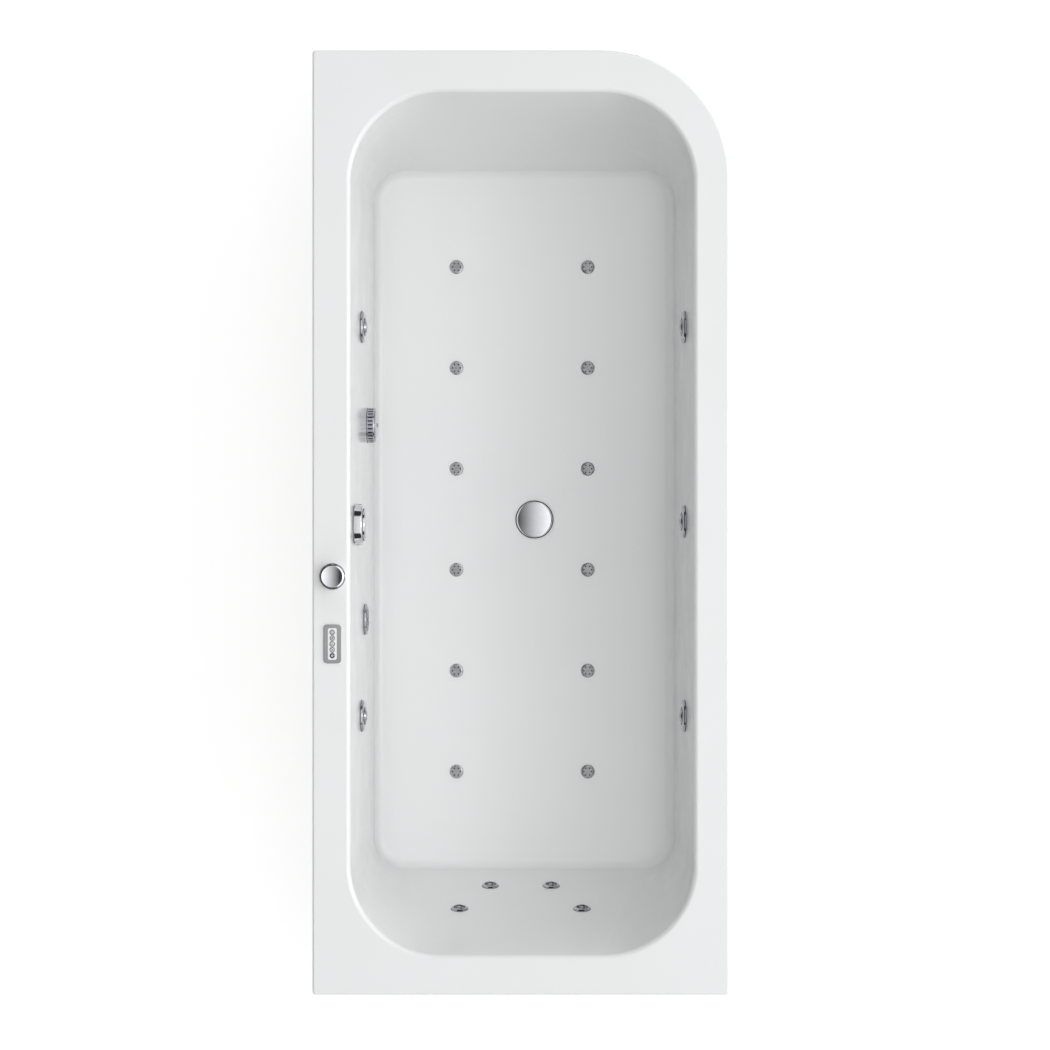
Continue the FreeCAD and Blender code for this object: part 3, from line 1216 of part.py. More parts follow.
def cradle():
    rail_long = bath_length - rail_end * 2
    post_y = bath_length / 2 - rail_end - post_side / 2
    posts = []
    for side, word in ((-1, "left"), (1, "right")):
        x = rail_spread / 2 * side
        tube = block(f"rail_{word}_tube", rail_wide, rail_long, rail_tall, x=x, z=rail_under)
        hollow = block(f"rail_{word}_hollow", rail_wide - rail_wall * 2, rail_long + 2, rail_tall - rail_wall * 2,
                       x=x, z=rail_under + rail_wall)
        node(f"frame_rail_{word}", cut(f"rail_{word}", tube, hollow))
        for end in (-1, 1):
            posts.append(block(f"post_{word}_{end + 1}", post_side, post_side, deck_under - board_under,
                               x=x, y=post_y * end, z=board_under))
    node("rim_posts", group("posts", posts))
    nuts = []
    number = 0
    rod_top = rail_under + foot_travel + rod_spare
    for end, word in ((1, "head"), (-1, "foot")):
        y = cross_spread / 2 * end
        beam = block(f"cross_{word}_beam", foot_spread + cross_overhang * 2, cross_wide, cross_tall, y=y, z=cross_under)
        bores = []
        for side in (-1, 1):
            x = foot_spread / 2 * side
            number += 1
            bores.append(cylinder(f"cross_bore_{number}", foot_rod_radius + running_fit, cross_tall + 4, x=x, y=y,
                                  z=cross_under - 2))
            foot = turned(f"foot_{number}", [
                (0, 0),
                (foot_pad_radius, 0),
                (foot_pad_radius, foot_pad_tall - foot_bevel),
                (foot_pad_radius / 2, foot_pad_tall),
                (foot_rod_radius, foot_pad_tall),
                (foot_rod_radius, rod_top - 1),
                (foot_rod_radius - 1, rod_top),
                (0, rod_top),
            ])
            node(f"levelling_foot_{number}", put(foot, x, y))
            blank = doc.addObject("Part::Prism", f"nut_blank_{number}")
            blank.Polygon = 6
            bind(blank, "Circumradius", nut_across / math.sqrt(3))
            bind(blank, "Height", nut_tall)
            put(blank, x, y, cross_under - nut_tall)
            thread = cylinder(f"nut_thread_{number}", foot_rod_radius + running_fit, nut_tall * 3, x=x, y=y,
                              z=cross_under - nut_tall * 2)
            nuts.append(cut(f"nut_{number}", blank, thread))
        node(f"cross_member_{word}", cut(f"cross_{word}", beam, *bores))
    node("foot_lock_nuts", group("lock_nuts", nuts))


# --- Machinery --------------------------------------------------------------------------------------

def pump():
    plate_wide = rail_spread + rail_wide
    cradle_low = pump_y - motor_radius
    plate = block("cradle_plate", plate_wide, cradle_plate_long, cradle_thick, y=cradle_low + cradle_plate_long / 2,
                  z=board_under)
    saddle_level = board_under + cradle_thick
    saddles = []
    motor_left = pump_left + volute_long
    for step, way in enumerate((saddle_in, motor_long - saddle_in)):
        saddles.append(block(f"saddle_{step}", saddle_thick, saddle_wide, saddle_tall, x=motor_left + way, y=pump_y,
                             z=saddle_level))
    seat = cylinder("saddle_seat", motor_radius, motor_long * 2, x=motor_left - motor_long / 2, y=pump_y,
                    z=motor_axis, turn=ALONG_X)
    node("pump_cradle", fuse("cradle", plate, cut("saddles", fuse("saddle_blocks", *saddles), seat)))

    core = turned("motor_core", [
        (0, 0),
        (motor_radius, 0),
        (motor_radius, motor_plain),
        (motor_radius - fin_deep, motor_plain),
        (motor_radius - fin_deep, motor_plain + fins_long),
        (motor_radius, motor_plain + fins_long),
        (motor_radius, motor_long - motor_round, motor_round),
        (motor_radius - motor_round, motor_long),
        (0, motor_long),
    ])
    core.Placement = FreeCAD.Placement(Vector(float(motor_left), float(pump_y), float(motor_axis)), ALONG_X)
    fins = []
    for step in range(int(float(fin_count))):
        fin = doc.addObject("Part::Box", f"motor_fin_{step}")
        bind(fin, "Length", fins_long)
        bind(fin, "Width", fin_thick)
        bind(fin, "Height", fin_deep + fin_root)
        turn = FreeCAD.Rotation(Vector(1, 0, 0), 360.0 * step / float(fin_count))
        base = turn.multVec(Vector(0, -float(fin_thick) / 2, float(motor_radius - fin_deep - fin_root)))
        base = base + Vector(float(motor_left + motor_plain), float(pump_y), float(motor_axis))
        fin.Placement = FreeCAD.Placement(base, turn)
        fins.append(fin)
    box = block("motor_box", motor_box_long, motor_box_wide, motor_box_tall, x=motor_left + motor_box_x,
                y=pump_y + motor_box_shift, z=motor_axis + motor_box_rise)
    shaft_bore = cylinder("motor_shaft_bore", pump_shaft_radius + running_fit, pump_shaft_long + 2, x=motor_left - 1,
                          y=pump_y, z=motor_axis, turn=ALONG_X)
    limit = cylinder("motor_limit", motor_radius, motor_long * 2, x=motor_left - motor_long / 2, y=pump_y,
                     z=motor_axis, turn=ALONG_X)
    ribs = doc.addObject("Part::Common", "motor_ribs")
    ribs.Base = fuse("motor_fins", *fins)
    ribs.Tool = limit
    node("pump_motor", cut("motor", fuse("motor_solid", core, ribs, box), shaft_bore))

    def on_axis(name, radius, length, x):
        return cylinder(name, radius, length, x=x, y=pump_y, z=motor_axis, turn=ALONG_X)

    body = turned("volute_body", [
        (0, 0),
        (volute_radius - volute_round, 0, volute_round),
        (volute_radius, volute_round),
        (volute_radius, volute_long - volute_step),
        (volute_radius - volute_bevel, volute_long),
        (0, volute_long),
    ])
    body.Placement = FreeCAD.Placement(Vector(float(pump_left), float(pump_y), float(motor_axis)), ALONG_X)
    inlet = on_axis("volute_inlet", suction_pipe_radius, inlet_long + volute_wall, pump_left - inlet_long)
    riser = cylinder("volute_riser", water_pipe_radius, volute_radius + riser_beyond, x=pump_left + volute_long / 2,
                     y=pump_y, z=motor_axis)
    inlet_bore = on_axis("volute_inlet_bore", suction_pipe_radius - port_wall, inlet_long + volute_wall * 2,
                         pump_left - inlet_long)
    chamber_long = volute_long - volute_wall * 2
    chamber = on_axis("volute_chamber", volute_radius - volute_round, chamber_long, pump_left + volute_wall)
    riser_bore = cylinder("volute_riser_bore", water_pipe_radius - riser_wall, volute_radius + riser_beyond,
                          x=pump_left + volute_long / 2, y=pump_y, z=motor_axis)
    shaft_hole = on_axis("volute_shaft_hole", pump_shaft_radius + running_fit, volute_wall * 2,
                         pump_left + volute_long - volute_wall * 1.5)
    node("pump_volute", cut("volute", fuse("volute_solid", body, inlet, riser), inlet_bore, chamber, riser_bore,
                            shaft_hole))

    plate_x = motor_left - volute_wall - impeller_plate - impeller_gap
    disc = on_axis("impeller_disc", impeller_radius, impeller_plate, plate_x)
    hub = on_axis("impeller_hub", pump_shaft_radius + hub_wall, blade_tall, plate_x - blade_tall + 1)
    shaft = on_axis("impeller_shaft", pump_shaft_radius, pump_shaft_long + motor_left - plate_x, plate_x)
    inner = float(impeller_radius)
    blades = []
    for step in range(int(float(blade_count))):
        sweep = doc.addObject("Part::Feature", f"impeller_blade_{step}")
        start = Vector(inner * 0.2, 0, 0)
        middle = Vector(inner * 0.56, inner * 0.2, 0)
        end = Vector(inner * 0.7, inner * 0.6, 0)
        spine = Part.Wire(Part.Arc(start, middle, end).toShape())
        flat = spine.makeOffset2D(float(blade_thick) / 2, 2, True, False, False)
        ribbon = Part.Face(flat).extrude(Vector(0, 0, -float(blade_tall)))
        ribbon.rotate(Vector(), Vector(0, 0, 1), 360.0 * step / float(blade_count))
        sweep.Shape = ribbon
        sweep.Placement = FreeCAD.Placement(Vector(float(plate_x) + 0.5, float(pump_y), float(motor_axis)), ALONG_X)
        blades.append(sweep)
    node("pump_impeller", fuse("impeller", disc, hub, shaft, *blades))


def blower():
    drum_axis = board_under + blower_base + blower_radius
    body = turned("blower_drum", [
        (0, 0),
        (blower_radius - blower_round, 0, blower_round),
        (blower_radius, blower_round),
        (blower_radius, blower_step_x),
        (blower_radius - blower_step_in, blower_step_x + blower_step_in),
        (blower_radius - blower_step_in, blower_long - blower_step_in, blower_step_in),
        (blower_radius - blower_step_in * 2, blower_long),
        (0, blower_long),
    ])
    body.Placement = FreeCAD.Placement(
        Vector(float(blower_x - blower_long / 2), float(blower_y), float(drum_axis)), ALONG_X)
    foot = block("blower_foot", blower_foot_long, blower_foot_wide, blower_foot_tall, x=blower_x - blower_foot_shift,
                 y=blower_y, z=board_under)
    reach = blower_long / 2 + spigot_long
    spigot = cylinder("blower_spigot", air_pipe_radius + spigot_wall, reach, x=blower_x, y=blower_y, z=drum_axis,
                      turn=ALONG_X)
    node("air_blower", fuse("blower", body, foot, spigot))
    return drum_axis, blower_x + reach


def control_box():
    case_tall = box_tall - lid_tall
    case = block("box_case", box_wide, box_long, case_tall, x=box_x, y=box_y, z=board_under)
    lid = block("box_lid", box_wide + lid_over * 2, box_long + lid_over * 2, lid_tall, x=box_x, y=box_y,
                z=board_under + case_tall)
    glands = []
    for step in (-1, 0, 1):
        glands.append(cylinder(f"box_gland_{step + 2}", gland_radius, gland_long + 2,
                               x=box_x - box_wide / 2 - gland_long, y=box_y + gland_pitch * step,
                               z=board_under + gland_rise, turn=ALONG_X))
    node("control_box", fuse("box", case, lid, *glands))


# --- Pipework ---------------------------------------------------------------------------------------

def at(place, x, y, z):
    """A point of a wall frame, in the bath's frame."""
    return place.multVec(Vector(float(x), float(y), float(z)))


def corner_line():
    """x + y along the 45 degree run of pipes inside the large corner, clear of the basin and the rim."""
    return float((bath_width + bath_length) / 2 - rim_corner * 2 + corner_clear * 2)


def water_pipework(jets, backs, suction_place):
    bend = water_pipe_radius * 2
    pieces = []
    half = jet_line_half
    depth = -jet_line_depth
    riser_x = float(pump_left + volute_long / 2)
    y = float(pump_y)
    left_first = at(jets[0], half, 0, depth)
    left_last = at(jets[2], -half, 0, depth)
    right_first = at(jets[3], -half, 0, depth)
    level = left_first.z
    tee = Vector(riser_x, y, level)
    stub = float(tee_half)
    socket = water_pipe_radius + socket_wall
    cross = cylinder("delivery_tee_run", socket, tee_half * 2, x=riser_x - tee_half, y=pump_y, z=level, turn=ALONG_X)
    leg = cylinder("delivery_tee_leg", socket - leg_less, tee_half, x=riser_x, y=pump_y, z=level - tee_half)
    pieces.append(fuse("delivery_tee", cross, leg))
    riser_foot = float(motor_axis + volute_radius + riser_beyond)
    pieces.append(pipe("delivery_riser", [(riser_x, y, riser_foot), (riser_x, y, level - stub)], water_pipe_radius, bend))
    pieces.append(pipe("delivery_left", [(riser_x - stub, y, level), (left_first.x, y, level), left_first],
                       water_pipe_radius, bend))
    diagonal = corner_line()
    x = right_first.x
    pieces.append(pipe("delivery_right", [
        (riser_x + stub, y, level),
        (diagonal - y, y, level),
        (x, diagonal - x, level),
        right_first,
    ], water_pipe_radius, bend))
    for first, second, word in ((0, 1, "a"), (1, 2, "b")):
        pieces.append(pipe(f"left_line_{word}", [at(jets[first], -half, 0, depth), at(jets[second], half, 0, depth)],
                           water_pipe_radius, bend))
        pieces.append(pipe(f"right_line_{word}", [at(jets[first + 3], half, 0, depth),
                                                  at(jets[second + 3], -half, 0, depth)], water_pipe_radius, bend))
    # branch to the back jets: along the left wall, behind the foot end, then down to the lower pair
    back_depth = -back_line_depth
    back_half = back_line_half
    upper_left = at(backs[0], back_half, 0, back_depth)
    upper_link = at(backs[0], -back_half, 0, back_depth)
    upper_right = at(backs[1], back_half, 0, back_depth)
    upper_end = at(backs[1], -back_half, 0, back_depth)
    lower_start = at(backs[3], -back_half, 0, back_depth)
    lower_link = at(backs[3], back_half, 0, back_depth)
    lower_end = at(backs[2], -back_half, 0, back_depth)
    branch_bend = branch_radius * 2.2
    pieces.append(pipe("branch_feed", [
        left_last,
        left_last + Vector(0, -float(branch_start), 0),
        Vector(left_last.x, upper_left.y, upper_left.z),
        upper_left,
    ], branch_radius, branch_bend))
    pieces.append(pipe("branch_upper", [upper_link, upper_right], branch_radius, branch_bend))
    turn_x = upper_end.x + float(branch_turn_out)
    pieces.append(pipe("branch_drop", [
        upper_end,
        Vector(turn_x, upper_end.y, upper_end.z),
        Vector(turn_x, lower_start.y, lower_start.z),
        lower_start,
    ], branch_radius, branch_bend))
    pieces.append(pipe("branch_lower", [lower_link, lower_end], branch_radius, branch_bend))
    # suction line to the pump inlet
    mouth = at(suction_place, suction_line_half, 0, -suction_line_depth)
    inlet = Vector(float(pump_left - inlet_long), y, float(motor_axis))
    pieces.append(pipe("suction_line", [
        mouth,
        Vector(mouth.x, y, mouth.z),
        Vector(mouth.x, y, inlet.z),
        inlet,
    ], suction_pipe_radius, suction_pipe_radius * 1.6))
    node("water_pipes", group("water_runs", pieces))


def air_pipework(jets, spots, blower_axis, blower_end):
    pieces = []
    level = board_under - air_pipe_drop
    header_y = float(air_first - air_header_back)
    bend = air_pipe_radius * 1.8
    last = float(air_first + air_pitch * (air_count - 1) + air_pipe_tail)
    for row, word in ((air_left, "left"), (air_right, "right")):
        pieces.append(pipe(f"air_row_{word}", [(row, last, level), (row, header_y + float(air_pipe_radius), level)],
                           air_pipe_radius, bend))
    pieces.append(pipe("air_header", [(air_left - air_pipe_radius, header_y, level),
                                      (air_right + air_pipe_radius, header_y, level)], air_pipe_radius, bend))
    drop_x = float(blower_end + feed_step)
    feed = pipe("air_feed", [
        (blower_end, blower_y, blower_axis),
        (drop_x, blower_y, blower_axis),
        (drop_x, blower_y, level),
        (drop_x, header_y - float(air_pipe_radius), level),
    ], air_pipe_radius, bend)
    pieces.append(feed)
    # air tubes of the side jets, above their water line
    depth = -jet_line_depth
    rise = jet_air_rise
    half = jet_air_half
    left_first = at(jets[0], half, rise, depth)
    right_first = at(jets[3], -half, rise, depth)
    y = float(pump_y)
    small = air_tube_radius * 3
    diagonal = corner_line()
    pieces.append(pipe("air_tube_head", [
        left_first,
        (left_first.x, y, left_first.z),
        (diagonal - y, y, left_first.z),
        (right_first.x, diagonal - right_first.x, left_first.z),
        right_first,
    ], air_tube_radius, small))
    for first, second, word in ((0, 1, "a"), (1, 2, "b")):
        start = at(jets[first], -half, rise, depth)
        end = at(jets[second], half, rise, depth)
        if word == "b":
            # the rim knob's tube comes down to a tee in this stretch
            tee_y = float(knob_y)
            arm = float(air_tee_half)
            top = start.z + float(air_tee_leg)
            tee = pipe("air_tee_run", [(start.x, tee_y + arm, start.z), (start.x, tee_y - arm, start.z)],
                       air_tube_radius + air_socket_wall, small)
            leg = cylinder("air_tee_leg", air_tube_radius + air_socket_wall - leg_less, air_tee_leg, x=start.x,
                           y=tee_y, z=start.z)
            pieces.append(fuse("air_tee", tee, leg))
            pieces.append(pipe("air_tube_left_b", [start, (start.x, tee_y + arm, start.z)], air_tube_radius, small))
            pieces.append(pipe("air_tube_left_c", [(start.x, tee_y - arm, start.z), end], air_tube_radius, small))
            control_foot = float(rim_top - control_barrel_long)
            pieces.append(pipe("air_tube_knob", [
                (knob_x, tee_y, control_foot),
                (knob_x, tee_y, control_foot - float(knob_tube_drop)),
                (start.x, tee_y, top + float(knob_tube_drop)),
                (start.x, tee_y, top),
            ], air_tube_radius, small))
        else:
            pieces.append(pipe("air_tube_left_a", [start, end], air_tube_radius, small))
        pieces.append(pipe(f"air_tube_right_{word}", [at(jets[first + 3], half, rise, depth),
                                                      at(jets[second + 3], -half, rise, depth)],
                           air_tube_radius, small))
    node("air_pipes", group("air_runs", pieces))


def overflow_pipework(place, depth):
    reach = hose_radius + drop_long
    start = at(place, -hose_step, -reach, -depth)
    down = at(place, -hose_step, -(reach + 1), -depth) - start
    low = float(waste_pipe_height)
    corner = start + down * ((low - start.z) / down.z)
    end_y = float(waste_y - trap_radius - side_inlet_long)
    hose = pipe("overflow_hose", [
        start,
        corner,
        Vector(float(waste_x), corner.y, low),
        Vector(float(waste_x), end_y, low),
    ], hose_radius, hose_radius * 1.5)
    node("overflow_pipe", hose)


# --- Assembly ---------------------------------------------------------------------------------------

def wall_hole(name, place, radius):
    hole = doc.addObject("Part::Cylinder", name)
    bind(hole, "Radius", radius)
    bind(hole, "Height", shell_wall * 4)
    hole.Placement = place.multiply(FreeCAD.Placement(Vector(0, 0, -2 * float(shell_wall)), FreeCAD.Rotation()))
    return hole


shell = moulded_shell()
jet_places = side_jets()
back_places = back_jets()
overflow_place, overflow_depth = overflow()
suction_place = suction()
light_place = light()
air_spots = air_jets()
waste()
air_control()
panel()
floor_board(air_spots)
cradle()
pump()
blower_axis, blower_end = blower()
control_box()
water_pipework(jet_places, back_places, suction_place)
air_pipework(jet_places, air_spots, blower_axis, blower_end)
overflow_pipework(overflow_place, overflow_depth)

openings = []
for index, place in enumerate(jet_places):
    openings.append(wall_hole(f"shell_jet_hole_{index}", place, jet_barrel_radius + gap))
for index, place in enumerate(back_places):
    openings.append(wall_hole(f"shell_back_hole_{index}", place, back_barrel_radius + gap))
openings.append(wall_hole("shell_overflow_hole", overflow_place, overflow_barrel_radius + gap))
openings.append(wall_hole("shell_suction_hole", suction_place, suction_barrel_radius + gap))
openings.append(wall_hole("shell_light_hole", light_place, light_barrel_radius + gap))
openings.append(wall_hole("shell_waste_hole", floor_place(waste_x, waste_y), waste_shank_radius + gap))
openings.append(wall_hole("shell_knob_hole", floor_place(knob_x, knob_y, rim_top), control_barrel_radius + gap))
for index, (x, y) in enumerate(air_spots):
    openings.append(wall_hole(f"shell_air_hole_{index}", floor_place(x, y), air_body_radius + gap))
openings.append(block("shell_panel_hole", panel_body_wide + gap * 2, panel_body_long + gap * 2, shell_wall * 6,
                      x=panel_x, y=panel_y, z=rim_top - shell_wall * 3))
node("tub_shell", cut_in_turn("shell", shell, openings))

doc.recompute()

faulty = [thing.Name for thing in doc.Objects if "Invalid" in thing.State or "Error" in thing.State]
if faulty:
    raise SystemExit("features that failed: " + ", ".join(faulty))
for piece in NODES:
    if piece.Shape.isNull() or not piece.Shape.isValid() or not piece.Shape.Solids:
        raise SystemExit("no sound solid in " + piece.Label)

os.makedirs("parts", exist_ok=True)
for piece in NODES:
    piece.Shape.exportStep(f"parts/{piece.Label}.step")
print(len(NODES), "nodes written")
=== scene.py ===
import json
import math

import bmesh
import bpy
from mathutils import Matrix, Vector


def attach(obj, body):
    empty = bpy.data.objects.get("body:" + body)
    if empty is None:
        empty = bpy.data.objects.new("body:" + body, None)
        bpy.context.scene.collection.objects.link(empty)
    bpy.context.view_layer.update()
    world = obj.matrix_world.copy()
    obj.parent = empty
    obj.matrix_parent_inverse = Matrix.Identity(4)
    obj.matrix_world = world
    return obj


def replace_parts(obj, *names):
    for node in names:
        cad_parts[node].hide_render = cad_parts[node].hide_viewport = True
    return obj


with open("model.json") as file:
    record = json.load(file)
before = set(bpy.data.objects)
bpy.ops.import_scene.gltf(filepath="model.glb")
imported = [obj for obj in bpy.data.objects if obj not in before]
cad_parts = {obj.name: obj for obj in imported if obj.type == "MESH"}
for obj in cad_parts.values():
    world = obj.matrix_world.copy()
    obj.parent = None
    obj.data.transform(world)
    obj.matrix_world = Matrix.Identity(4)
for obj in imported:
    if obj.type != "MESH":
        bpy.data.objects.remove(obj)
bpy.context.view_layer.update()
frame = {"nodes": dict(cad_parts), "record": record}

MM = 0.001


# --- Materials -------------------------------------------------------------------------------------

class Paint:
    """A procedural material around one Principled shader; textures are laid out in object space."""

    def __init__(self, name, colour, rough, metal=0.0, ior=1.5):
        self.material = bpy.data.materials.new(name)
        self.material.use_nodes = True
        self.tree = self.material.node_tree
        self.shader = self.tree.nodes["Principled BSDF"]
        self.colour = colour
        self.shader.inputs["Base Color"].default_value = (*colour, 1)
        self.shader.inputs["Roughness"].default_value = rough
        self.shader.inputs["Metallic"].default_value = metal
        self.shader.inputs["IOR"].default_value = ior
        self.place = self.tree.nodes.new("ShaderNodeTexCoord").outputs["Object"]
        self.height = None

    def new(self, kind, **values):
        made = self.tree.nodes.new(kind)
        for key, value in values.items():
            if hasattr(made, key):
                setattr(made, key, value)
            else:
                made.inputs[key.replace("_", " ")].default_value = value
        return made

    def link(self, start, end):
        self.tree.links.new(start, end)

    def stretched(self, scale):
        mapping = self.new("ShaderNodeMapping")
        mapping.inputs["Scale"].default_value = scale
        self.link(self.place, mapping.inputs["Vector"])
        return mapping.outputs["Vector"]

    def noise(self, scale, detail=3.0, rough=0.55, stretch=None):
        made = self.new("ShaderNodeTexNoise", Scale=scale, Detail=detail, Roughness=rough)
        self.link(self.stretched(stretch) if stretch else self.place, made.inputs["Vector"])
        return made.outputs["Fac"]

    def cells(self, scale, output="Color", stretch=None):
        made = self.new("ShaderNodeTexVoronoi", Scale=scale)
        self.link(self.stretched(stretch) if stretch else self.place, made.inputs["Vector"])
        return made.outputs[output]

    def maths(self, kind, *values):
        made = self.new("ShaderNodeMath", operation=kind)
        for value, port in zip(values, made.inputs):
            if isinstance(value, float):
                port.default_value = value
            else:
                self.link(value, port)
        return made.outputs[0]

    def ramp(self, source, low, high, start=0.3, end=0.7):
        made = self.new("ShaderNodeMapRange")
        made.inputs["From Min"].default_value = start
        made.inputs["From Max"].default_value = end
        made.inputs["To Min"].default_value = low
        made.inputs["To Max"].default_value = high
        self.link(source, made.inputs["Value"])
        return made.outputs["Result"]

    def tint(self, source, other, start=0.35, end=0.65, share=1.0):
        """Colour varies from the base colour to another one with a texture."""
        made = self.new("ShaderNodeMix", data_type="RGBA")
        before = self.shader.inputs["Base Color"]
        if before.links:
            self.link(before.links[0].from_socket, made.inputs[6])
        else:
            made.inputs[6].default_value = (*self.colour, 1)
        made.inputs[7].default_value = (*other, 1)
        self.link(self.ramp(source, 0.0, share, start, end), made.inputs[0])
        self.link(made.outputs[2], before)

    def wear(self, source, low, high, start=0.3, end=0.7):
        """Roughness varies between two values with a texture."""
        self.link(self.ramp(source, low, high, start, end), self.shader.inputs["Roughness"])

    def bump(self, source, deep):
        """Relief of a real depth in metres; calls stack."""
        made = self.new("ShaderNodeBump", Distance=deep)
        self.link(source, made.inputs["Height"])
        if self.height:
            self.link(self.height, made.inputs["Normal"])
        self.height = made.outputs["Normal"]
        self.link(self.height, self.shader.inputs["Normal"])


LIP_UNDERSIDE = 0.561
LIP_INSIDE = (0.36, 0.835)
TURNED_AWAY = 0.02


def backing(paint):
    """1 on the outer and under faces of the moulding, 0 on its bathing side and its rim."""
    parts = [paint.new("ShaderNodeSeparateXYZ") for _ in range(2)]
    facing = paint.tree.nodes.new("ShaderNodeTexCoord").outputs["Normal"]
    paint.link(paint.place, parts[0].inputs["Vector"])
    paint.link(facing, parts[1].inputs["Vector"])
    (x, y, z), (nx, ny, nz) = [[part.outputs[axis] for axis in "XYZ"] for part in parts]
    away = paint.maths("ADD", paint.maths("MULTIPLY", x, nx), paint.maths("MULTIPLY", y, ny))
    outer = paint.maths("MULTIPLY", paint.maths("GREATER_THAN", away, TURNED_AWAY),
                        paint.maths("LESS_THAN", z, LIP_UNDERSIDE))
    edge = paint.maths("MAXIMUM", paint.maths("GREATER_THAN", paint.maths("ABSOLUTE", x), LIP_INSIDE[0]),
                       paint.maths("GREATER_THAN", paint.maths("ABSOLUTE", y), LIP_INSIDE[1]))
    skirt = paint.maths("MULTIPLY", paint.maths("LESS_THAN", away, -TURNED_AWAY), edge)
    under = paint.maths("LESS_THAN", nz, -0.5)
    return paint.maths("MAXIMUM", under, paint.maths("MAXIMUM", outer, skirt))


def acrylic():
    """Cast acrylic sheet, backed with rolled glass-fibre strands under cloudy resin."""
    paint = Paint("cast_acrylic_white", (0.815, 0.82, 0.82), 0.1, ior=1.49)
    paint.tint(paint.noise(2.6, 2.0), (0.80, 0.805, 0.80), share=0.8)
    behind = backing(paint)
    paint.tint(behind, (0.60, 0.57, 0.47), 0.4, 0.6)
    clouds_and_strands = [
        (7.0, 5.0, None, (0.70, 0.68, 0.60), 0.35, 1.0),
        (160.0, 4.0, (1.0, 7.0, 3.0), (0.78, 0.77, 0.71), 0.52, 0.6),
        (150.0, 4.0, (6.0, 1.0, 4.0), (0.50, 0.47, 0.38), 0.56, 0.5),
    ]
    for scale, detail, stretch, colour, start, share in clouds_and_strands:
        seen = paint.maths("MULTIPLY", paint.noise(scale, detail, 0.65, stretch), behind)
        paint.tint(seen, colour, start, start + 0.15, share)
    gloss = paint.ramp(paint.noise(9.0, 4.0), 0.11, 0.18)
    dull = paint.maths("MULTIPLY", paint.ramp(paint.noise(55.0, 4.0), 0.2, 0.55), behind)
    paint.link(paint.maths("ADD", gloss, dull), paint.shader.inputs["Roughness"])
    paint.bump(paint.noise(38.0, 2.0), 0.00003)
    relief = paint.maths("SUBTRACT", paint.noise(120.0, 4.0, 0.7, (1.0, 5.0, 3.0)), 0.5)
    paint.bump(paint.maths("MULTIPLY", relief, behind), 0.0014)
    paint.shader.inputs["Coat Weight"].default_value = 0.1
    paint.shader.inputs["Coat Roughness"].default_value = 0.05
    return paint.material


def chrome():
    """Bright plate on brass, with faint wiping marks."""
    paint = Paint("chrome_plate", (0.83, 0.84, 0.86), 0.05, metal=1.0)
    paint.tint(paint.noise(60.0, 3.0), (0.76, 0.78, 0.80), share=0.6)
    paint.wear(paint.noise(140.0, 5.0), 0.035, 0.10)
    paint.bump(paint.noise(220.0, 2.0), 0.000006)
    return paint.material


def jet_chrome():
    """Chrome on moulded plastic: darker and bluer than plated brass."""
    paint = Paint("jet_chrome", (0.52, 0.54, 0.58), 0.08, metal=1.0)
    paint.tint(paint.noise(70.0, 3.0), (0.45, 0.47, 0.51), share=0.6)
    paint.wear(paint.noise(160.0, 4.0), 0.05, 0.12)
    paint.bump(paint.noise(240.0, 2.0), 0.000008)
    return paint.material


def satin_chrome():
    """Chrome with a brushed, dull finish."""
    paint = Paint("satin_chrome", (0.52, 0.53, 0.54), 0.22, metal=1.0)
    paint.tint(paint.noise(90.0, 3.0), (0.38, 0.39, 0.40), share=0.7)
    paint.wear(paint.noise(260.0, 4.0), 0.2, 0.34)
    return paint.material


def board():
    """Resin-sealed chipboard: pressed flakes of several browns."""
    paint = Paint("sealed_chipboard", (0.42, 0.30, 0.19), 0.5)
    small = paint.cells(170.0, "Distance", (1.0, 2.3, 1.0))
    paint.tint(small, (0.58, 0.45, 0.31), 0.2, 0.7)
    large = paint.cells(95.0, "Distance", (2.0, 1.0, 1.0))
    paint.tint(large, (0.27, 0.18, 0.10), 0.45, 0.8, 0.7)
    paint.tint(paint.noise(5.0, 4.0), (0.50, 0.38, 0.26), share=0.4)
    paint.wear(paint.noise(60.0, 3.0), 0.4, 0.62)
    paint.bump(small, 0.0005)
    return paint.material


def galvanised(name, colour, scale):
    """Zinc coat with its spangle and a little dulling."""
    paint = Paint(name, colour, 0.4, metal=0.9)
    darker = tuple(value * 0.78 for value in colour)
    paint.tint(paint.cells(scale, output="Color"), darker, 0.2, 0.8)
    paint.tint(paint.noise(6.0, 5.0), (0.66, 0.66, 0.64), share=0.35)
    paint.wear(paint.cells(scale, output="Distance"), 0.28, 0.5, 0.0, 0.9)
    paint.bump(paint.noise(scale * 1.4, 3.0), 0.0001)
    return paint.material


def moulded(name, colour, rough, grain=900.0, deep=0.00004, metal=0.0, shade=0.86):
    """Injection-moulded plastic: fine grain, slight flow clouds, hand marks in the gloss."""
    paint = Paint(name, colour, rough, metal=metal, ior=1.48)
    paint.tint(paint.noise(11.0, 4.0), tuple(value * shade for value in colour), share=0.8)
    paint.wear(paint.noise(45.0, 4.0), rough * 0.8, min(1.0, rough * 1.25))
    paint.bump(paint.noise(grain, 2.0), deep)
    return paint.material


def frosted_lens():
    """Pebbled clear plastic over an unlit lamp."""
    paint = Paint("frosted_lens", (0.42, 0.45, 0.48), 0.25, ior=1.5)
    paint.shader.inputs["Transmission Weight"].default_value = 0.55
    paint.tint(paint.noise(70.0, 2.0), (0.34, 0.37, 0.40), share=0.6)
    paint.wear(paint.noise(300.0, 3.0), 0.15, 0.35)
    paint.bump(paint.cells(420.0, output="Distance"), 0.0002)
    return paint.material


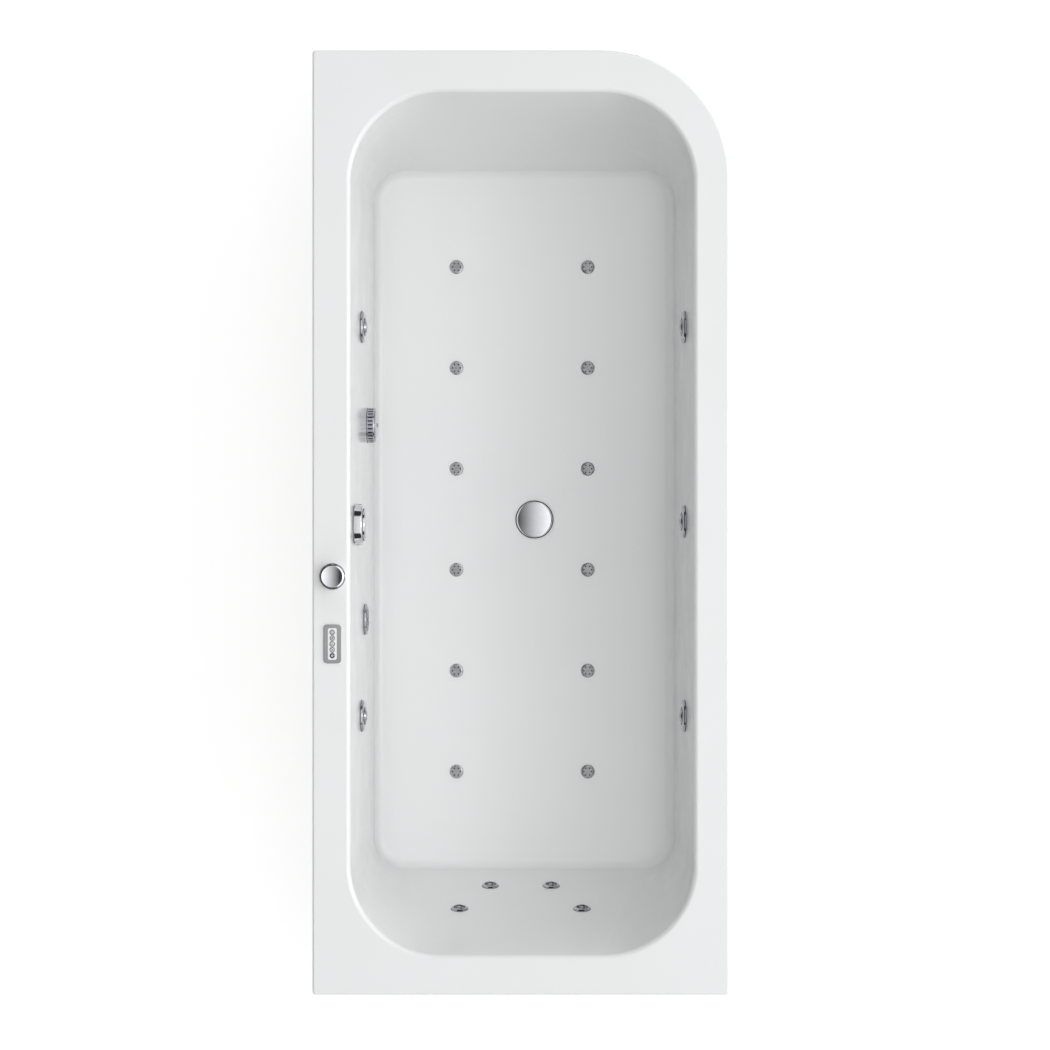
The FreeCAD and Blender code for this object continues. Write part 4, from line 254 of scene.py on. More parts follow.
MATERIALS = {
    "acrylic": acrylic(),
    "board": board(),
    "steel_frame": galvanised("galvanised_tube", (0.56, 0.58, 0.60), 85.0),
    "chrome": chrome(),
    "pvc_white": moulded("white_pipe_plastic", (0.76, 0.76, 0.74), 0.34),
    "pvc_grey": moulded("grey_hose_plastic", (0.40, 0.42, 0.44), 0.4),
    "zinc": galvanised("bright_zinc", (0.66, 0.67, 0.66), 260.0),
    "pump_paint": moulded("motor_paint", (0.105, 0.115, 0.125), 0.42, 420.0, 0.00012, shade=0.7),
    "pump_plastic": moulded("black_pump_plastic", (0.035, 0.036, 0.038), 0.45, 700.0, 0.0001,
                            shade=1.5),
    "blower_plastic": moulded("dark_blower_plastic", (0.10, 0.105, 0.115), 0.5, 650.0, 0.0001,
                              shade=1.35),
    "box_plastic": moulded("pale_enclosure_plastic", (0.62, 0.63, 0.64), 0.45, 700.0, 0.00008),
    "panel_grey": moulded("bezel_grey", (0.315, 0.32, 0.32), 0.38, 1400.0, 0.00002),
    "panel_white": moulded("keypad_white", (0.84, 0.84, 0.84), 0.22, 1200.0, 0.00001, shade=0.95),
    "button_white": moulded("button_white", (0.78, 0.78, 0.78), 0.26, 1200.0, 0.00001, shade=0.93),
    "lens": frosted_lens(),
    "satin": satin_chrome(),
    "jet_chrome": jet_chrome(),
    "rotor": moulded("rotor_dark_chrome", (0.30, 0.31, 0.33), 0.22, 900.0, 0.00001, metal=0.9),
    "ink": moulded("key_print_grey", (0.03, 0.032, 0.036), 0.4, 1500.0, 0.00001, shade=1.4),
    "rubber": moulded("seal_rubber", (0.02, 0.02, 0.021), 0.6, 500.0, 0.00005, shade=1.8),
}

SLOT_OF_NODE = {row["node"]: row["material_slot"] for row in frame["record"]["subparts"]}


def dress(thing, material):
    thing.data.materials.clear()
    thing.data.materials.append(material)


def smooth(thing, angle=32.0):
    thing.data.polygons.foreach_set("use_smooth", [True] * len(thing.data.polygons))
    thing.data.set_sharp_from_angle(angle=math.radians(angle))


# finishes of nodes that the record's material slots don't tell apart, by the start of the node's name
FINISHES = {
    "back_jet_rotor": "rotor",
    "back_jet_rings": "jet_chrome",
    "suction_strainer": "jet_chrome",
    "light_bezel": "jet_chrome",
    "air_jet_caps": "satin",
}
for name, thing in frame["nodes"].items():
    slot = SLOT_OF_NODE[name]
    for start, finish in FINISHES.items():
        if name.startswith(start):
            slot = finish
    dress(thing, MATERIALS[slot])
    if name != "tub_shell":
        smooth(thing)


# --- Mesh tools ------------------------------------------------------------------------------------

TINY = 1e-6


def placed(pos, across=(1, 0, 0), out=(0, 0, 1)):
    """A place in millimetres, with local x along `across` and local z along `out`."""
    out = Vector(out).normalized()
    across = Vector(across).normalized()
    turn = Matrix((across, out.cross(across), out)).transposed().to_4x4()
    return Matrix.Translation(Vector(pos)) @ turn


def inside(place, pos, across=(1, 0, 0), out=(0, 0, 1)):
    return place @ placed(pos, across, out)


def around(count, shift=0.0):
    """Evenly spread angles; a shift of 0.5 puts them halfway between."""
    return [math.tau * (step + shift) / count for step in range(count)]


def ray(angle):
    """The direction at an angle in the plane of a place."""
    return (math.cos(angle), math.sin(angle), 0)


def spoke(place, angle, radius, level=0, out=(0, 0, 1)):
    """A place on a circle round another one, with local x away from the middle."""
    way = ray(angle)
    return inside(place, (way[0] * radius, way[1] * radius, level), way, out)


def on_side(place, angle, radius, level=0):
    """A place on the side of a cylinder, with local z away from the middle."""
    way = ray(angle)
    return inside(place, (way[0] * radius, way[1] * radius, level), (0, 0, 1), way)


def circle(radius, level, steps=24):
    return [(radius * math.cos(angle), radius * math.sin(angle), level) for angle in around(steps)]


def hexagon(half_across, level, steps=24):
    """Points of a hexagon at even angles, so that it lofts to a circle."""
    ring = []
    for angle in around(steps):
        reach = half_across / math.cos((angle + math.pi / 6) % (math.pi / 3) - math.pi / 6)
        ring.append((reach * math.cos(angle), reach * math.sin(angle), level))
    return ring


def round_rect(wide, long, corner, level, steps=4):
    ring = []
    for number, (sx, sy) in enumerate(((1, 1), (-1, 1), (-1, -1), (1, -1))):
        for k in range(steps + 1):
            angle = math.pi / 2 * (number + k / steps)
            ring.append((sx * (wide / 2 - corner) + corner * math.cos(angle),
                         sy * (long / 2 - corner) + corner * math.sin(angle), level))
    return ring


class Piece:
    """One mesh of the scene, drawn in millimetres of a place and kept in metres like the CAD nodes."""

    def __init__(self, name, place=None):
        self.name = name
        self.place = place or Matrix.Identity(4)
        self.mesh = bmesh.new()

    def at(self, place):
        self.place = place
        return self

    def point(self, spot):
        return self.mesh.verts.new(self.place @ Vector(spot))

    def skin(self, rows, closed=False):
        pairs = list(zip(rows, rows[1:]))
        if closed:
            pairs.append((rows[-1], rows[0]))
        steps = max(len(row) for row in rows)
        for low, high in pairs:
            for k in range(steps):
                n = (k + 1) % steps
                corners = [low[k % len(low)], low[n % len(low)]]
                corners += [high[n % len(high)], high[k % len(high)]]
                corners = list(dict.fromkeys(corners))
                if len(corners) > 2:
                    self.mesh.faces.new(corners)

    def loft(self, *rings):
        """A closed body through rings of equally many points."""
        rows = [[self.point(spot) for spot in ring] for ring in rings]
        self.skin(rows)
        self.mesh.faces.new(rows[0][::-1])
        self.mesh.faces.new(rows[-1])
        return self

    def lathe(self, profile, steps=48, closed=False, reach=None):
        """A body of revolution; reach(angle, radius, level) may vary the radius."""
        rows = []
        for radius, level in profile:
            if radius < TINY:
                rows.append([self.point((0, 0, level))])
                continue
            row = []
            for angle in around(steps):
                wide = reach(angle, radius, level) if reach else radius
                row.append(self.point((wide * math.cos(angle), wide * math.sin(angle), level)))
            rows.append(row)
        self.skin(rows, closed)
        return self

    def band(self, inner, outer, low, high, soft=0.3, steps=48):
        """A ring with eased edges."""
        return self.lathe([(inner, low), (outer - soft, low), (outer, low + soft), (outer, high - soft),
                           (outer - soft, high), (inner, high)], steps, closed=True)

    def slab(self, wide, long, corner, low, high, soft=0.4):
        """A plate with rounded corners and eased edges."""
        small = (wide - 2 * soft, long - 2 * soft, max(corner - soft, 0.05))
        return self.loft(round_rect(*small, low), round_rect(wide, long, corner, low + soft),
                         round_rect(wide, long, corner, high - soft), round_rect(*small, high))

    def socket_screw(self, radius, tall):
        """A button head with a hexagon socket."""
        return self.loft(circle(radius, 0), circle(radius, tall * 0.35),
                         circle(radius * 0.86, tall * 0.8), circle(radius * 0.62, tall),
                         hexagon(radius * 0.42, tall), hexagon(radius * 0.4, tall * 0.3))

    def hex_bolt(self, half_across, tall, washer=None):
        """A hexagon head with its turned corners, over a washer."""
        lift = 0.0
        if washer:
            lift = half_across * 0.2
            self.band(half_across * 0.3, washer, 0, lift, lift * 0.3, 24)
        corner = half_across * 1.11
        return self.loft(hexagon(half_across * 0.98, lift), hexagon(half_across, lift + tall * 0.08),
                         hexagon(half_across, lift + tall * 0.78), circle(corner * 0.86, lift + tall),
                         circle(corner * 0.5, lift + tall * 1.02))

    def ribbed(self, inner, outer, low, high, ribs=24, deep=0.9):
        """A union nut with finger ribs."""
        def fingers(angle, radius, level):
            if radius < outer - TINY:
                return radius
            return outer - deep * max(0.0, math.cos(ribs * angle)) ** 2

        bevel = 1.5
        return self.lathe([(inner, low), (outer - deep * 1.6, low), (outer, low + bevel),
                           (outer, high - bevel), (outer - deep * 1.6, high), (inner, high)],
                          ribs * 6, True, fingers)

    def clamp(self, place, radius, wide=8.0):
        """A worm-drive hose clamp round local z: slotted band, housing and screw."""
        self.at(place).band(radius - 0.1, radius + 0.7, -wide / 2, wide / 2, 0.15, 40)
        for slot in range(9):
            angle = math.radians(38 + 9 * slot)
            self.at(on_side(place, angle, radius + 0.65)).slab(wide * 0.62, 0.9, 0.3, -0.1, 0.35, 0.1)
        house = inside(place, (radius + 0.5, 0, 0), (0, 0, 1), (1, 0, 0))
        self.at(house).slab(wide, 9, 1.2, -0.8, 4.6, 0.6)
        self.at(inside(house, (0, 4.2, 2.4), (1, 0, 0), (0, 1, 0))).hex_bolt(2.7, 3.2)

    def done(self, body, material, angle=32.0):
        """The finished mesh as an object that rides on a body of the frame."""
        bmesh.ops.recalc_face_normals(self.mesh, faces=self.mesh.faces)
        for vertex in self.mesh.verts:
            vertex.co *= MM
        data = bpy.data.meshes.new(self.name)
        self.mesh.to_mesh(data)
        self.mesh.free()
        thing = bpy.data.objects.new(self.name, data)
        bpy.context.scene.collection.objects.link(thing)
        dress(thing, MATERIALS[material])
        smooth(thing, angle)
        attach(thing, body)
        return thing


# --- Places of the fittings, in millimetres --------------------------------------------------------

LEFT_WALL = ((0, 1, 0), (0.9985264, 0, 0.0542677))
RIGHT_WALL = ((0, -1, 0), (-0.9994685, 0, 0.0326))
FOOT_WALL = ((-1, 0, 0), (0, 0.9701425, 0.2425356))
FLOOR_TOP = 140
RIM_TOP = 600
SIDE_JET_ROWS = (363.5, 2.0, -359.5)
SIDE_JETS = [placed((-296.0032, y, 397.6591), *LEFT_WALL) for y in SIDE_JET_ROWS]
SIDE_JETS += [placed((305.3673, y, 396.597), *RIGHT_WALL) for y in SIDE_JET_ROWS]
BACK_JETS = [placed((x, -721.9552, 367.8209), *FOOT_WALL) for x in (-114.5, 114.5)]
BACK_JETS += [placed((x, -691.9552, 247.8209), *FOOT_WALL) for x in (-58, 58)]
OVERFLOW = placed((-302.6522, -4, 520), *LEFT_WALL)
SUCTION = placed((-289.7267, 184, 282.1707), *LEFT_WALL)
LIGHT = placed((-292.5978, -182, 335), *LEFT_WALL)
AIR_JETS = [placed((x, -482.3 + 195.4 * k, FLOOR_TOP)) for x in (-124.5, 129.7) for k in range(6)]
WASTE_X, WASTE_Y = 26.6, 5.8
WASTE = placed((WASTE_X, WASTE_Y, FLOOR_TOP))
KNOB = placed((-338.7, -97.1, RIM_TOP))
PANEL = placed((-338.8, -218.4, RIM_TOP + 3))
KEY_PITCH = 10.45
MOTOR = placed((-165, 775, 193), (0, 1, 0), (1, 0, 0))
FAN_COVER_LEVEL = 308
BLOWER = placed((-260, -755, 170), (0, 1, 0), (1, 0, 0))
BOX_X, BOX_Y = 170, -757
RAIL_X = 190
RAIL_END_Y = 830
POST_Y = 817.5
CROSS_Y = 590
CROSS_END_X = 330
FOOT_X = 300


# --- Fittings in the basin -------------------------------------------------------------------------

def globe(radius, start, end, steps=10):
    """Profile along a ball's side between two levels."""
    levels = [start + (end - start) * k / steps for k in range(steps + 1)]
    return [(math.sqrt(radius ** 2 - level ** 2), level) for level in levels]


BALL_RADIUS = 15.0
BALL_SEAT_RADIUS = 15.32


def side_jet_details(number, place):
    """The ring and its eyeball, the flow straightener, black rubber as painted shade deep in the eyeball
    and in the gap round it, and the seals, partly painted contact shadow.
    """
    body = f"jet_nozzle_{number}"
    ring_body = f"jet_ring_{number}"
    # black rubber disc deep in the eyeball: painted shade of its bore
    eye_bore_shade = Piece(f"jet_eye_bore_shade_{number}", place)
    eye_bore_shade.lathe([(0, -8.6), (6.9, -8.6), (6.9, -6.8), (3.0, -6.4), (0, -6.4)], 40)
    eye_bore_shade.done(body, "rubber")
    vanes = Piece(f"jet_vanes_{number}", place)
    vanes.lathe([(0, -6.3), (1.9, -6.3), (1.9, 5.0), (1.5, 6.6), (0.8, 7.5), (0, 7.8)], 24)
    for angle in around(3):
        vanes.at(spoke(place, angle + math.pi / 2, 4.2))
        vanes.loft(*[round_rect(5.4, wide, wide / 2.05, level)
                     for level, wide in ((-5.8, 0.5), (-5.2, 1.1), (3.6, 1.1), (5.0, 0.3))])
    vanes.done(body, "satin")
    ball = Piece(f"jet_eyeball_{number}", place)
    ball.lathe([(7, -11), (10.2, -11)] + globe(BALL_RADIUS, -10.6, 9.0)
               + [(11.4, 9.45), (8.2, 9.5), (7.5, 9.1), (7, 8.2)], 72, closed=True)
    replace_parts(ball.done(body, "jet_chrome"), f"side_jet_nozzle_{number}")
    ring = Piece(f"jet_escutcheon_{number}", place)
    ring.lathe([(19.99, -15.8), (19.99, 0.05), (28.8, 0.05), (29.5, 0.6), (29.5, 2.4), (29.1, 3.8),
                (28.0, 5.0), (26.4, 5.7), (24.6, 5.9), (16.2, 6.3), (14.6, 6.2)]
               + globe(BALL_SEAT_RADIUS, 5.6, -7.2) + [(14.2, -8.4), (16.0, -15.8)], 96, closed=True)
    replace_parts(ring.done(ring_body, "jet_chrome"), f"side_jet_ring_{number}")
    # a rubber seal whose black rim outside the ring is painted contact shadow
    Piece(f"jet_seal_and_contact_shade_{number}", place).band(28.9, 30.0, 0.04, 0.85, 0.25, 96).done("tub", "rubber")
    # black rubber ring round the eyeball: painted shade of the gap between eyeball and ring
    eyeball_gap_shade = Piece(f"jet_eyeball_gap_shade_{number}", place)
    eyeball_gap_shade.lathe([(14.75, 6.15), (17.0, 6.15), (17.0, 6.5), (16.5, 6.7), (15.2, 6.7), (14.75, 6.4)],
                72, closed=True)
    eyeball_gap_shade.done(ring_body, "rubber")


def back_jet_details(number, place):
    """A black disc under the rotor as painted shade of the jet's bore, its hub cap, and the seal under
    the ring, whose black rim is partly painted contact shadow.
    """
    # black rubber disc under the rotor: painted shade of the jet's bore
    bore_shade = Piece(f"back_bore_shade_{number}", place)
    bore_shade.lathe([(5.3, 0.02), (10.3, 0.02), (10.3, 0.5), (9.9, 0.24), (5.3, 0.24)], 64, closed=True)
    bore_shade.done("tub", "rubber")
    hub = Piece(f"back_hub_{number}", place)
    hub.lathe([(0, 3.2), (3.1, 3.2), (3.1, 3.7), (2.8, 4.1), (1.7, 4.4), (0, 4.5)], 40)
    for angle in around(3, 0.5):
        hub.at(spoke(place, angle, 5.6, 3.3)).slab(5.4, 1.1, 0.5, 0, 0.55, 0.2)
    hub.done(f"back_rotor_{number}", "satin")
    # rubber seal whose black rim outside the ring is painted contact shadow
    Piece(f"back_seal_and_contact_shade_{number}", place).band(15.4, 16.5, 0.03, 0.6, 0.2, 80).done("tub", "rubber")


def air_jet_details():
    """The rubber leaf under each cap that keeps the water out of the air holes; its black is also painted
    shade seen through the holes.
    """
    # rubber leaves whose black is also painted shade in the air holes
    leaves = Piece("air_cap_leaves_and_hole_shade")
    for place in AIR_JETS:
        leaves.at(place).band(5.2, 9.7, -1.3, -0.15, 0.2, 48)
    leaves.done("tub", "rubber")


def crown(reach, low, rise, steps=14):
    """Profile of a shallow dome, from its edge to its middle; a negative rise makes a dish."""
    shares = [1 - k / steps for k in range(steps + 1)]
    return [(reach * share, low + rise * (1 - share ** 2)) for share in shares]


def waste_details():
    """The polished cap with its stem, the lip seal, the stem's O-ring and the flange's seat, whose black
    rim round the cap is also painted shade of the gap between cap and flange.
    """
    cap = Piece("polished_waste_cap", WASTE)
    cap.lathe([(0, -31.6), (3.6, -31.6), (4, -31.2), (4, 2.7), (33.7, 2.7), (34.3, 3.0), (34.4, 3.5),
               (34.4, 4.1), (34.25, 4.4)] + crown(34.0, 4.6, 4.4), 128)
    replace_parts(cap.done("waste_plug", "chrome"), "waste_cap")
    lip = Piece("waste_lip_seal", WASTE)
    lip.lathe([(19.4, 2.68), (22.8, 2.68), (22.3, 2.45), (21.0, 1.9), (19.6, 1.0), (19.1, 1.4)],
              96, closed=True)
    lip.done("waste_plug", "rubber")
    ring = Piece("waste_stem_ring", WASTE)
    ring.lathe([(3.8, -4.3), (4.5, -4.3), (4.8, -3.5), (4.5, -2.7), (3.8, -2.7)], 32, closed=True)
    ring.done("waste_plug", "rubber")
    # rubber seat whose black rim round the cap is painted shade of the gap
    seat = Piece("waste_seat_and_gap_shade", WASTE)
    seat.lathe([(36.05, 0.03), (36.75, 0.03), (36.75, 2.0), (36.3, 2.75), (34.85, 2.75),
                (34.85, 2.45), (35.2, 2.44), (36.05, 1.7)], 128, closed=True)
    seat.done("tub", "rubber")


def overflow_details():
    """The inlet grille behind the drum, black as painted shade of the gap between drum and wall, the drum
    with its domed face, and the seam round the dome.
    """
    # slotted inlet grille, its black painted shade of the gap behind the drum
    inlet_grille_shade = Piece("overflow_inlet", OVERFLOW)
    inlet_grille_shade.band(25.4, 35.2, 2.03, 2.9, 0.2, 96)
    for angle in around(40):
        inlet_grille_shade.at(spoke(OVERFLOW, angle, 33.6, 2.5)).slab(2.2, 3.0, 0.5, 0, 5.9, 0.3)
    inlet_grille_shade.done("tub", "rubber")
    drum = Piece("cast_drum", OVERFLOW)
    drum.lathe([(0, -9.9), (5.6, -9.9), (6, -9.5), (6, 9), (35.9, 9), (35.9, 2.1), (38.2, 2.1),
                (38.5, 2.4), (37.45, 14.0), (37.1, 15.2), (36.3, 16.2), (35.2, 16.7), (34, 16.85),
                (29.4, 16.9), (28.2, 16.3), (28.0, 16.6), (28.0, 19.4), (27.6, 20.2)]
               + crown(27.0, 20.6, 3.2), 144)
    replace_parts(drum.done("overflow_drum", "chrome"), "overflow_knob")
    seam = Piece("drum_seam", OVERFLOW).band(28.05, 29.5, 16.5, 17.2, 0.15, 96)
    seam.done("overflow_drum", "rubber")


def suction_details():
    """A black core behind the strainer's slots as painted shade inside the strainer, its screw, and the
    seal against the wall, whose black rim is partly painted contact shadow.
    """
    def flutes(angle, radius, level):
        if radius > 26 and level > 1:
            return radius - 0.8 * max(0.0, math.cos(32 * angle))
        return radius

    # black core behind the slots: painted shade inside the strainer
    core = Piece("strainer_shade_core", SUCTION)
    core.lathe([(5.2, 0.4), (27.0, 0.4), (27.0, 13.0), (25.5, 13.9), (5.2, 13.9)], 64, closed=True,
               reach=flutes)
    core.done("tub", "rubber")
    screw = Piece("strainer_screw", inside(SUCTION, (0, 0, 18.0)))
    screw.socket_screw(4.4, 1.6)
    screw.done("tub", "satin")
    # rubber seal whose black rim outside the strainer is painted contact shadow
    Piece("strainer_seal_and_contact_shade", SUCTION).band(32.2, 33.6, 0.03, 0.7, 0.2, 96).done("tub", "rubber")


def light_details():
    """The seal under the bezel, whose black rim is partly painted contact shadow, and the ring that holds
    the lens.
    """
    # rubber seal whose black rim outside the bezel is painted contact shadow
    Piece("light_seal_and_contact_shade", LIGHT).band(28.3, 29.6, 0.03, 0.7, 0.25, 96).done("tub", "rubber")
    ring = Piece("light_lens_ring", LIGHT)
    ring.lathe([(21.4, 4.95), (22.25, 4.95), (22.25, 5.5), (21.8, 5.75), (21.4, 5.55)], 80,
               closed=True)
    ring.done("tub", "satin")


def knob_details():
    """The dished knob with its bevelled edge and finger grooves, and the seal under it, whose black rim
    round the knob's foot is partly painted contact shadow.
    """
    def grooves(angle, radius, level):
        if not 5.0 < level < 17.0:
            return radius
        return radius - 1.5 * max(0.0, math.cos(12 * angle)) ** 3

    knob = Piece("dished_knob", KNOB)
    knob.lathe([(0, -16.6), (6, -16.6), (6, 3.35), (22.2, 3.35), (22.45, 3.7), (22.4, 4.9),
                (22.35, 6.4), (22.1, 11.5), (21.95, 16.0), (21.9, 17.4), (21.9, 20.6), (21.7, 21.0),
                (19.3, 22.5), (18.9, 22.6)] + crown(18.6, 22.5, -2.9), 144, reach=grooves)
    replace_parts(knob.done("air_knob", "chrome", 26.0), "air_control_knob")
    # rubber seal whose black rim round the knob's foot is painted contact shadow
    seal = Piece("knob_foot_seal_and_contact_shade", KNOB)
    seal.lathe([(6.3, 3.03), (22.9, 3.03), (23.2, 3.35), (23.0, 3.9), (22.62, 4.1), (22.6, 3.26),
                (6.3, 3.26)], 96, closed=True)
    seal.done("tub", "rubber")


SIGN_RISE = 0.09


def arc_bar(piece, place, radius, width, start, end, steps=18):
    """A raised piece of ring, from one angle to another."""
    rings = []
    for k in range(steps + 1):
        angle = start + (end - start) * k / steps
        way = Vector((math.cos(angle), math.sin(angle), 0))
        rings.append([tuple(way * (radius + side * width / 2) + Vector((0, 0, level)))
                      for side, level in ((-1, 0.0), (1, 0.0), (1, SIGN_RISE), (-1, SIGN_RISE))])
    piece.at(place).loft(*rings)


def panel_details():
    """Raised generic signs on the keys: power, water, bubbles, lamp, timer."""
    for number in range(1, 6):
        key = inside(PANEL, (0, KEY_PITCH * (number - 3), 0.86))
        sign = Piece(f"key_sign_{number}", key)
        sign.band(3.3, 4.25, 0, SIGN_RISE, 0.02, 64)
        if number == 5:
            arc_bar(sign, key, 2.0, 0.8, math.radians(125), math.radians(415))
            sign.at(inside(key, (0, 1.6, 0))).slab(0.8, 2.4, 0.35, 0, SIGN_RISE, 0.02)
        elif number == 4:
            sign.lathe([(0, 0), (1.15, 0), (1.15, 0.08), (1.1, SIGN_RISE), (0, SIGN_RISE)], 32)
            for angle in around(8):
                sign.at(spoke(key, angle, 2.2)).slab(1.35, 0.6, 0.28, 0, SIGN_RISE, 0.02)
        elif number == 3:
            for x, y, radius in ((-1.2, -0.9, 1.25), (1.3, -0.5, 0.95), (0.1, 1.7, 0.8)):
                sign.at(inside(key, (x, y, 0))).band(radius - 0.5, radius, 0, SIGN_RISE, 0.02, 32)
        elif number == 2:
            for row in (-1.5, 0.0, 1.5):
                crest = inside(key, (-0.95, row - 0.55, 0))
                arc_bar(sign, crest, 0.95, 0.55, 0.0, math.pi)
                trough = inside(key, (0.95, row, 0))
                arc_bar(sign, trough, 0.95, 0.55, math.pi, math.tau)
        else:
            sign.band(2.0, 3.7, 0, 0.085, 0.02, 48)
            sign.at(inside(key, (0, 0.8, 0))).slab(0.7, 1.8, 0.28, 0, SIGN_RISE, 0.02)
            sign.at(inside(key, (0.55, 0, 0))).slab(1.5, 0.7, 0.28, 0, SIGN_RISE, 0.02)
        sign.done(f"button_{number}", "ink")
        collar = Piece(f"key_collar_{number}", inside(PANEL, (0, KEY_PITCH * (number - 3), 0)))
        collar.band(4.88, 5.12, -0.02, 0.14, 0.05, 56)
        collar.done("tub", "ink")


# --- Below the rim: pipe fittings, machinery and cradle --------------------------------------------

TEE_BACK = -49
TEE_AIR_SIDE = 38


def pipe_details():
    """Collars on the ends of the tees, a plug on each air line's last end, and the hose clamps."""
    collars = Piece("tee_collars")
    clamps = Piece("hose_clamps")
    for index, place in enumerate(SIDE_JETS):
        for side in (-1, 1):
            end = inside(place, (34 * side, 0, TEE_BACK), (0, 1, 0), (side, 0, 0))
            collars.at(end).band(17.0, 20.8, -6, 0.6, 0.8, 48)
            collars.at(end).band(15.6, 18.2, 0.6, 2.0, 0.6, 48)
            if (index, side) in ((2, -1), (5, 1)):
                plug = inside(place, (18 * side, TEE_AIR_SIDE, TEE_BACK), (0, 1, 0), (side, 0, 0))
                collars.at(plug).lathe([(0, -3), (10.6, -3), (11.2, -2.2), (11.2, 1.0), (10.2, 2.0),
                                        (0, 2.4)], 40)
            else:
                hose = inside(place, (25 * side, TEE_AIR_SIDE, TEE_BACK), (0, 0, -1), (side, 0, 0))
                clamps.clamp(hose, 8.0, 7.0)
    for place in BACK_JETS:
        for side in (-1, 1):
            end = inside(place, (22 * side, 0, -24), (0, 1, 0), (side, 0, 0))
            collars.at(end).band(10.4, 13.4, -4.5, 0.4, 0.6, 40)
    collars.done("tub", "pvc_white")
    clamps.clamp(placed((-201, -755, 170), (0, 0, 1), (1, 0, 0)), 36.2, 10)
    clamps.clamp(placed((-130, -755, 170), (0, 0, 1), (1, 0, 0)), 12.6, 9)
    clamps.done("tub", "zinc")


def nut_details():
    """Ribbed union nuts on the pump, the waste and the trap, and the grip of the trap's cup."""
    nuts = Piece("union_nuts")
    nuts.at(inside(MOTOR, (0, 0, -22))).ribbed(24.6, 33.0, -12, 10, 28, 1.1)
    nuts.at(placed((-136, 775, 275))).ribbed(15.7, 23.0, -9, 10, 20, 0.9)
    nuts.at(placed((WASTE_X, WASTE_Y, 114))).ribbed(25.6, 35.6, -6, 5.9, 28, 1.1)
    outlet = placed((WASTE_X, WASTE_Y, 46), (0, 1, 0), (1, 0, 0))
    nuts.at(outlet).ribbed(23.6, 27.0, 32.5, 41.5, 24, 0.9)
    overflow_inlet = placed((WASTE_X, WASTE_Y, 46), (0, 0, 1), (0, -1, 0))
    nuts.at(overflow_inlet).ribbed(11.0, 17.6, 35.0, 46.0, 20, 0.8)
    nuts.done("tub", "pvc_white")

    def grip(angle, radius, level):
        if radius > 31:
            return radius - 0.9 * max(0.0, math.cos(24 * angle))
        return radius

    cup = Piece("trap_grip", placed((WASTE_X, WASTE_Y, 0)))
    cup.lathe([(29.6, 19.2), (30.9, 20.4), (31.4, 21.4), (31.4, 26.0), (30.9, 27.0), (29.6, 28.0)],
              144, True, grip)
    cup.done("tub", "pvc_white")


def pump_details():
    """The volute's bolted ears and ribs, the fan cover's grille, the terminal lid and the bolts."""
    ears = Piece("volute_ears")
    bolts = Piece("pump_bolts")
    for angle in around(6):
        ear = (66 * math.cos(angle), 66 * math.sin(angle), 34)
        ears.at(inside(MOTOR, ear)).loft(circle(5.4, 0, 32), circle(6.6, 2, 32),
                                         circle(6.6, 22.4, 32), circle(6.0, 23, 32))
        bolts.at(inside(MOTOR, ear, (1, 0, 0), (0, 0, -1))).hex_bolt(3.6, 3.4, 5.2)
    for angle in around(8, 0.5):
        ears.at(spoke(MOTOR, angle, 42, out=(0, 0, -1)))
        ears.loft(*[round_rect(long, wide, wide / 2.1, level)
                    for level, long, wide in ((-3, 24, 4.2), (1.2, 22, 3.2), (2.0, 20, 2.0))])
    ears.done("tub", "pump_plastic")
    cover = Piece("fan_cover", inside(MOTOR, (0, 0, FAN_COVER_LEVEL)))
    for radius in (17, 25, 33, 41):
        cover.lathe([(radius, -2), (radius + 3.4, -2), (radius + 3.2, 1.1), (radius + 2.6, 1.5),
                     (radius + 0.8, 1.5), (radius + 0.2, 1.1)], 72, closed=True)
    for angle in around(6):
        cover.at(spoke(MOTOR, angle, 29, FAN_COVER_LEVEL)).slab(31, 4, 1.5, -2, 1.3, 0.5)
    cover.at(inside(MOTOR, (0, 0, FAN_COVER_LEVEL)))
    cover.lathe([(0, -2), (9, -2), (9, 0.6), (7, 1.5), (0, 1.5)], 40)
    cover.done("tub", "pump_paint")
    lid_x, lid_y = 5.5, 791.8
    lid = Piece("terminal_lid", placed((lid_x, lid_y, 263.2)))
    lid.slab(87, 56, 5, -6, 1.6, 0.9)
    lid.slab(76, 45, 4, 1.4, 2.6, 0.6)
    lid.done("tub", "pump_plastic")
    for x in (-36, 36):
        for y in (-21, 21):
            bolts.at(placed((lid_x + x, lid_y + y, 264.6))).socket_screw(2.6, 1.6)
    for x in (-194, 194):
        for y in (726, 790):
            bolts.at(placed((x, y, 126))).hex_bolt(5.0, 4.2, 8.0)
    bolts.done("tub", "zinc")


def blower_details():
    """The intake grille, and the ribs round the can except where it stands on its bracket."""
    grille = Piece("blower_grille", inside(BLOWER, (0, 0, 0), (1, 0, 0), (0, 0, -1)))
    for radius in (9, 15, 21, 27):
        grille.band(radius, radius + 2.6, -2, 1.1, 0.4, 64)
    grille.lathe([(0, -2), (6.2, -2), (6.2, 0.7), (5.2, 1.2), (0, 1.2)], 32)
    for angle in around(8):
        grille.at(spoke(BLOWER, angle, 18, out=(0, 0, -1))).slab(25, 2.2, 1.0, -2, 0.9, 0.3)
    bracket = math.radians(-90)
    for angle in around(24, 0.5):
        if math.cos(angle - bracket) > 0.55:
            continue
        grille.at(on_side(BLOWER, angle, 41.6, 37))
        grille.loft(*[round_rect(44, wide, wide / 2.1, level)
                      for level, wide in ((-1, 3.0), (0.9, 2.4), (1.4, 1.4))])
    grille.done("tub", "blower_plastic")


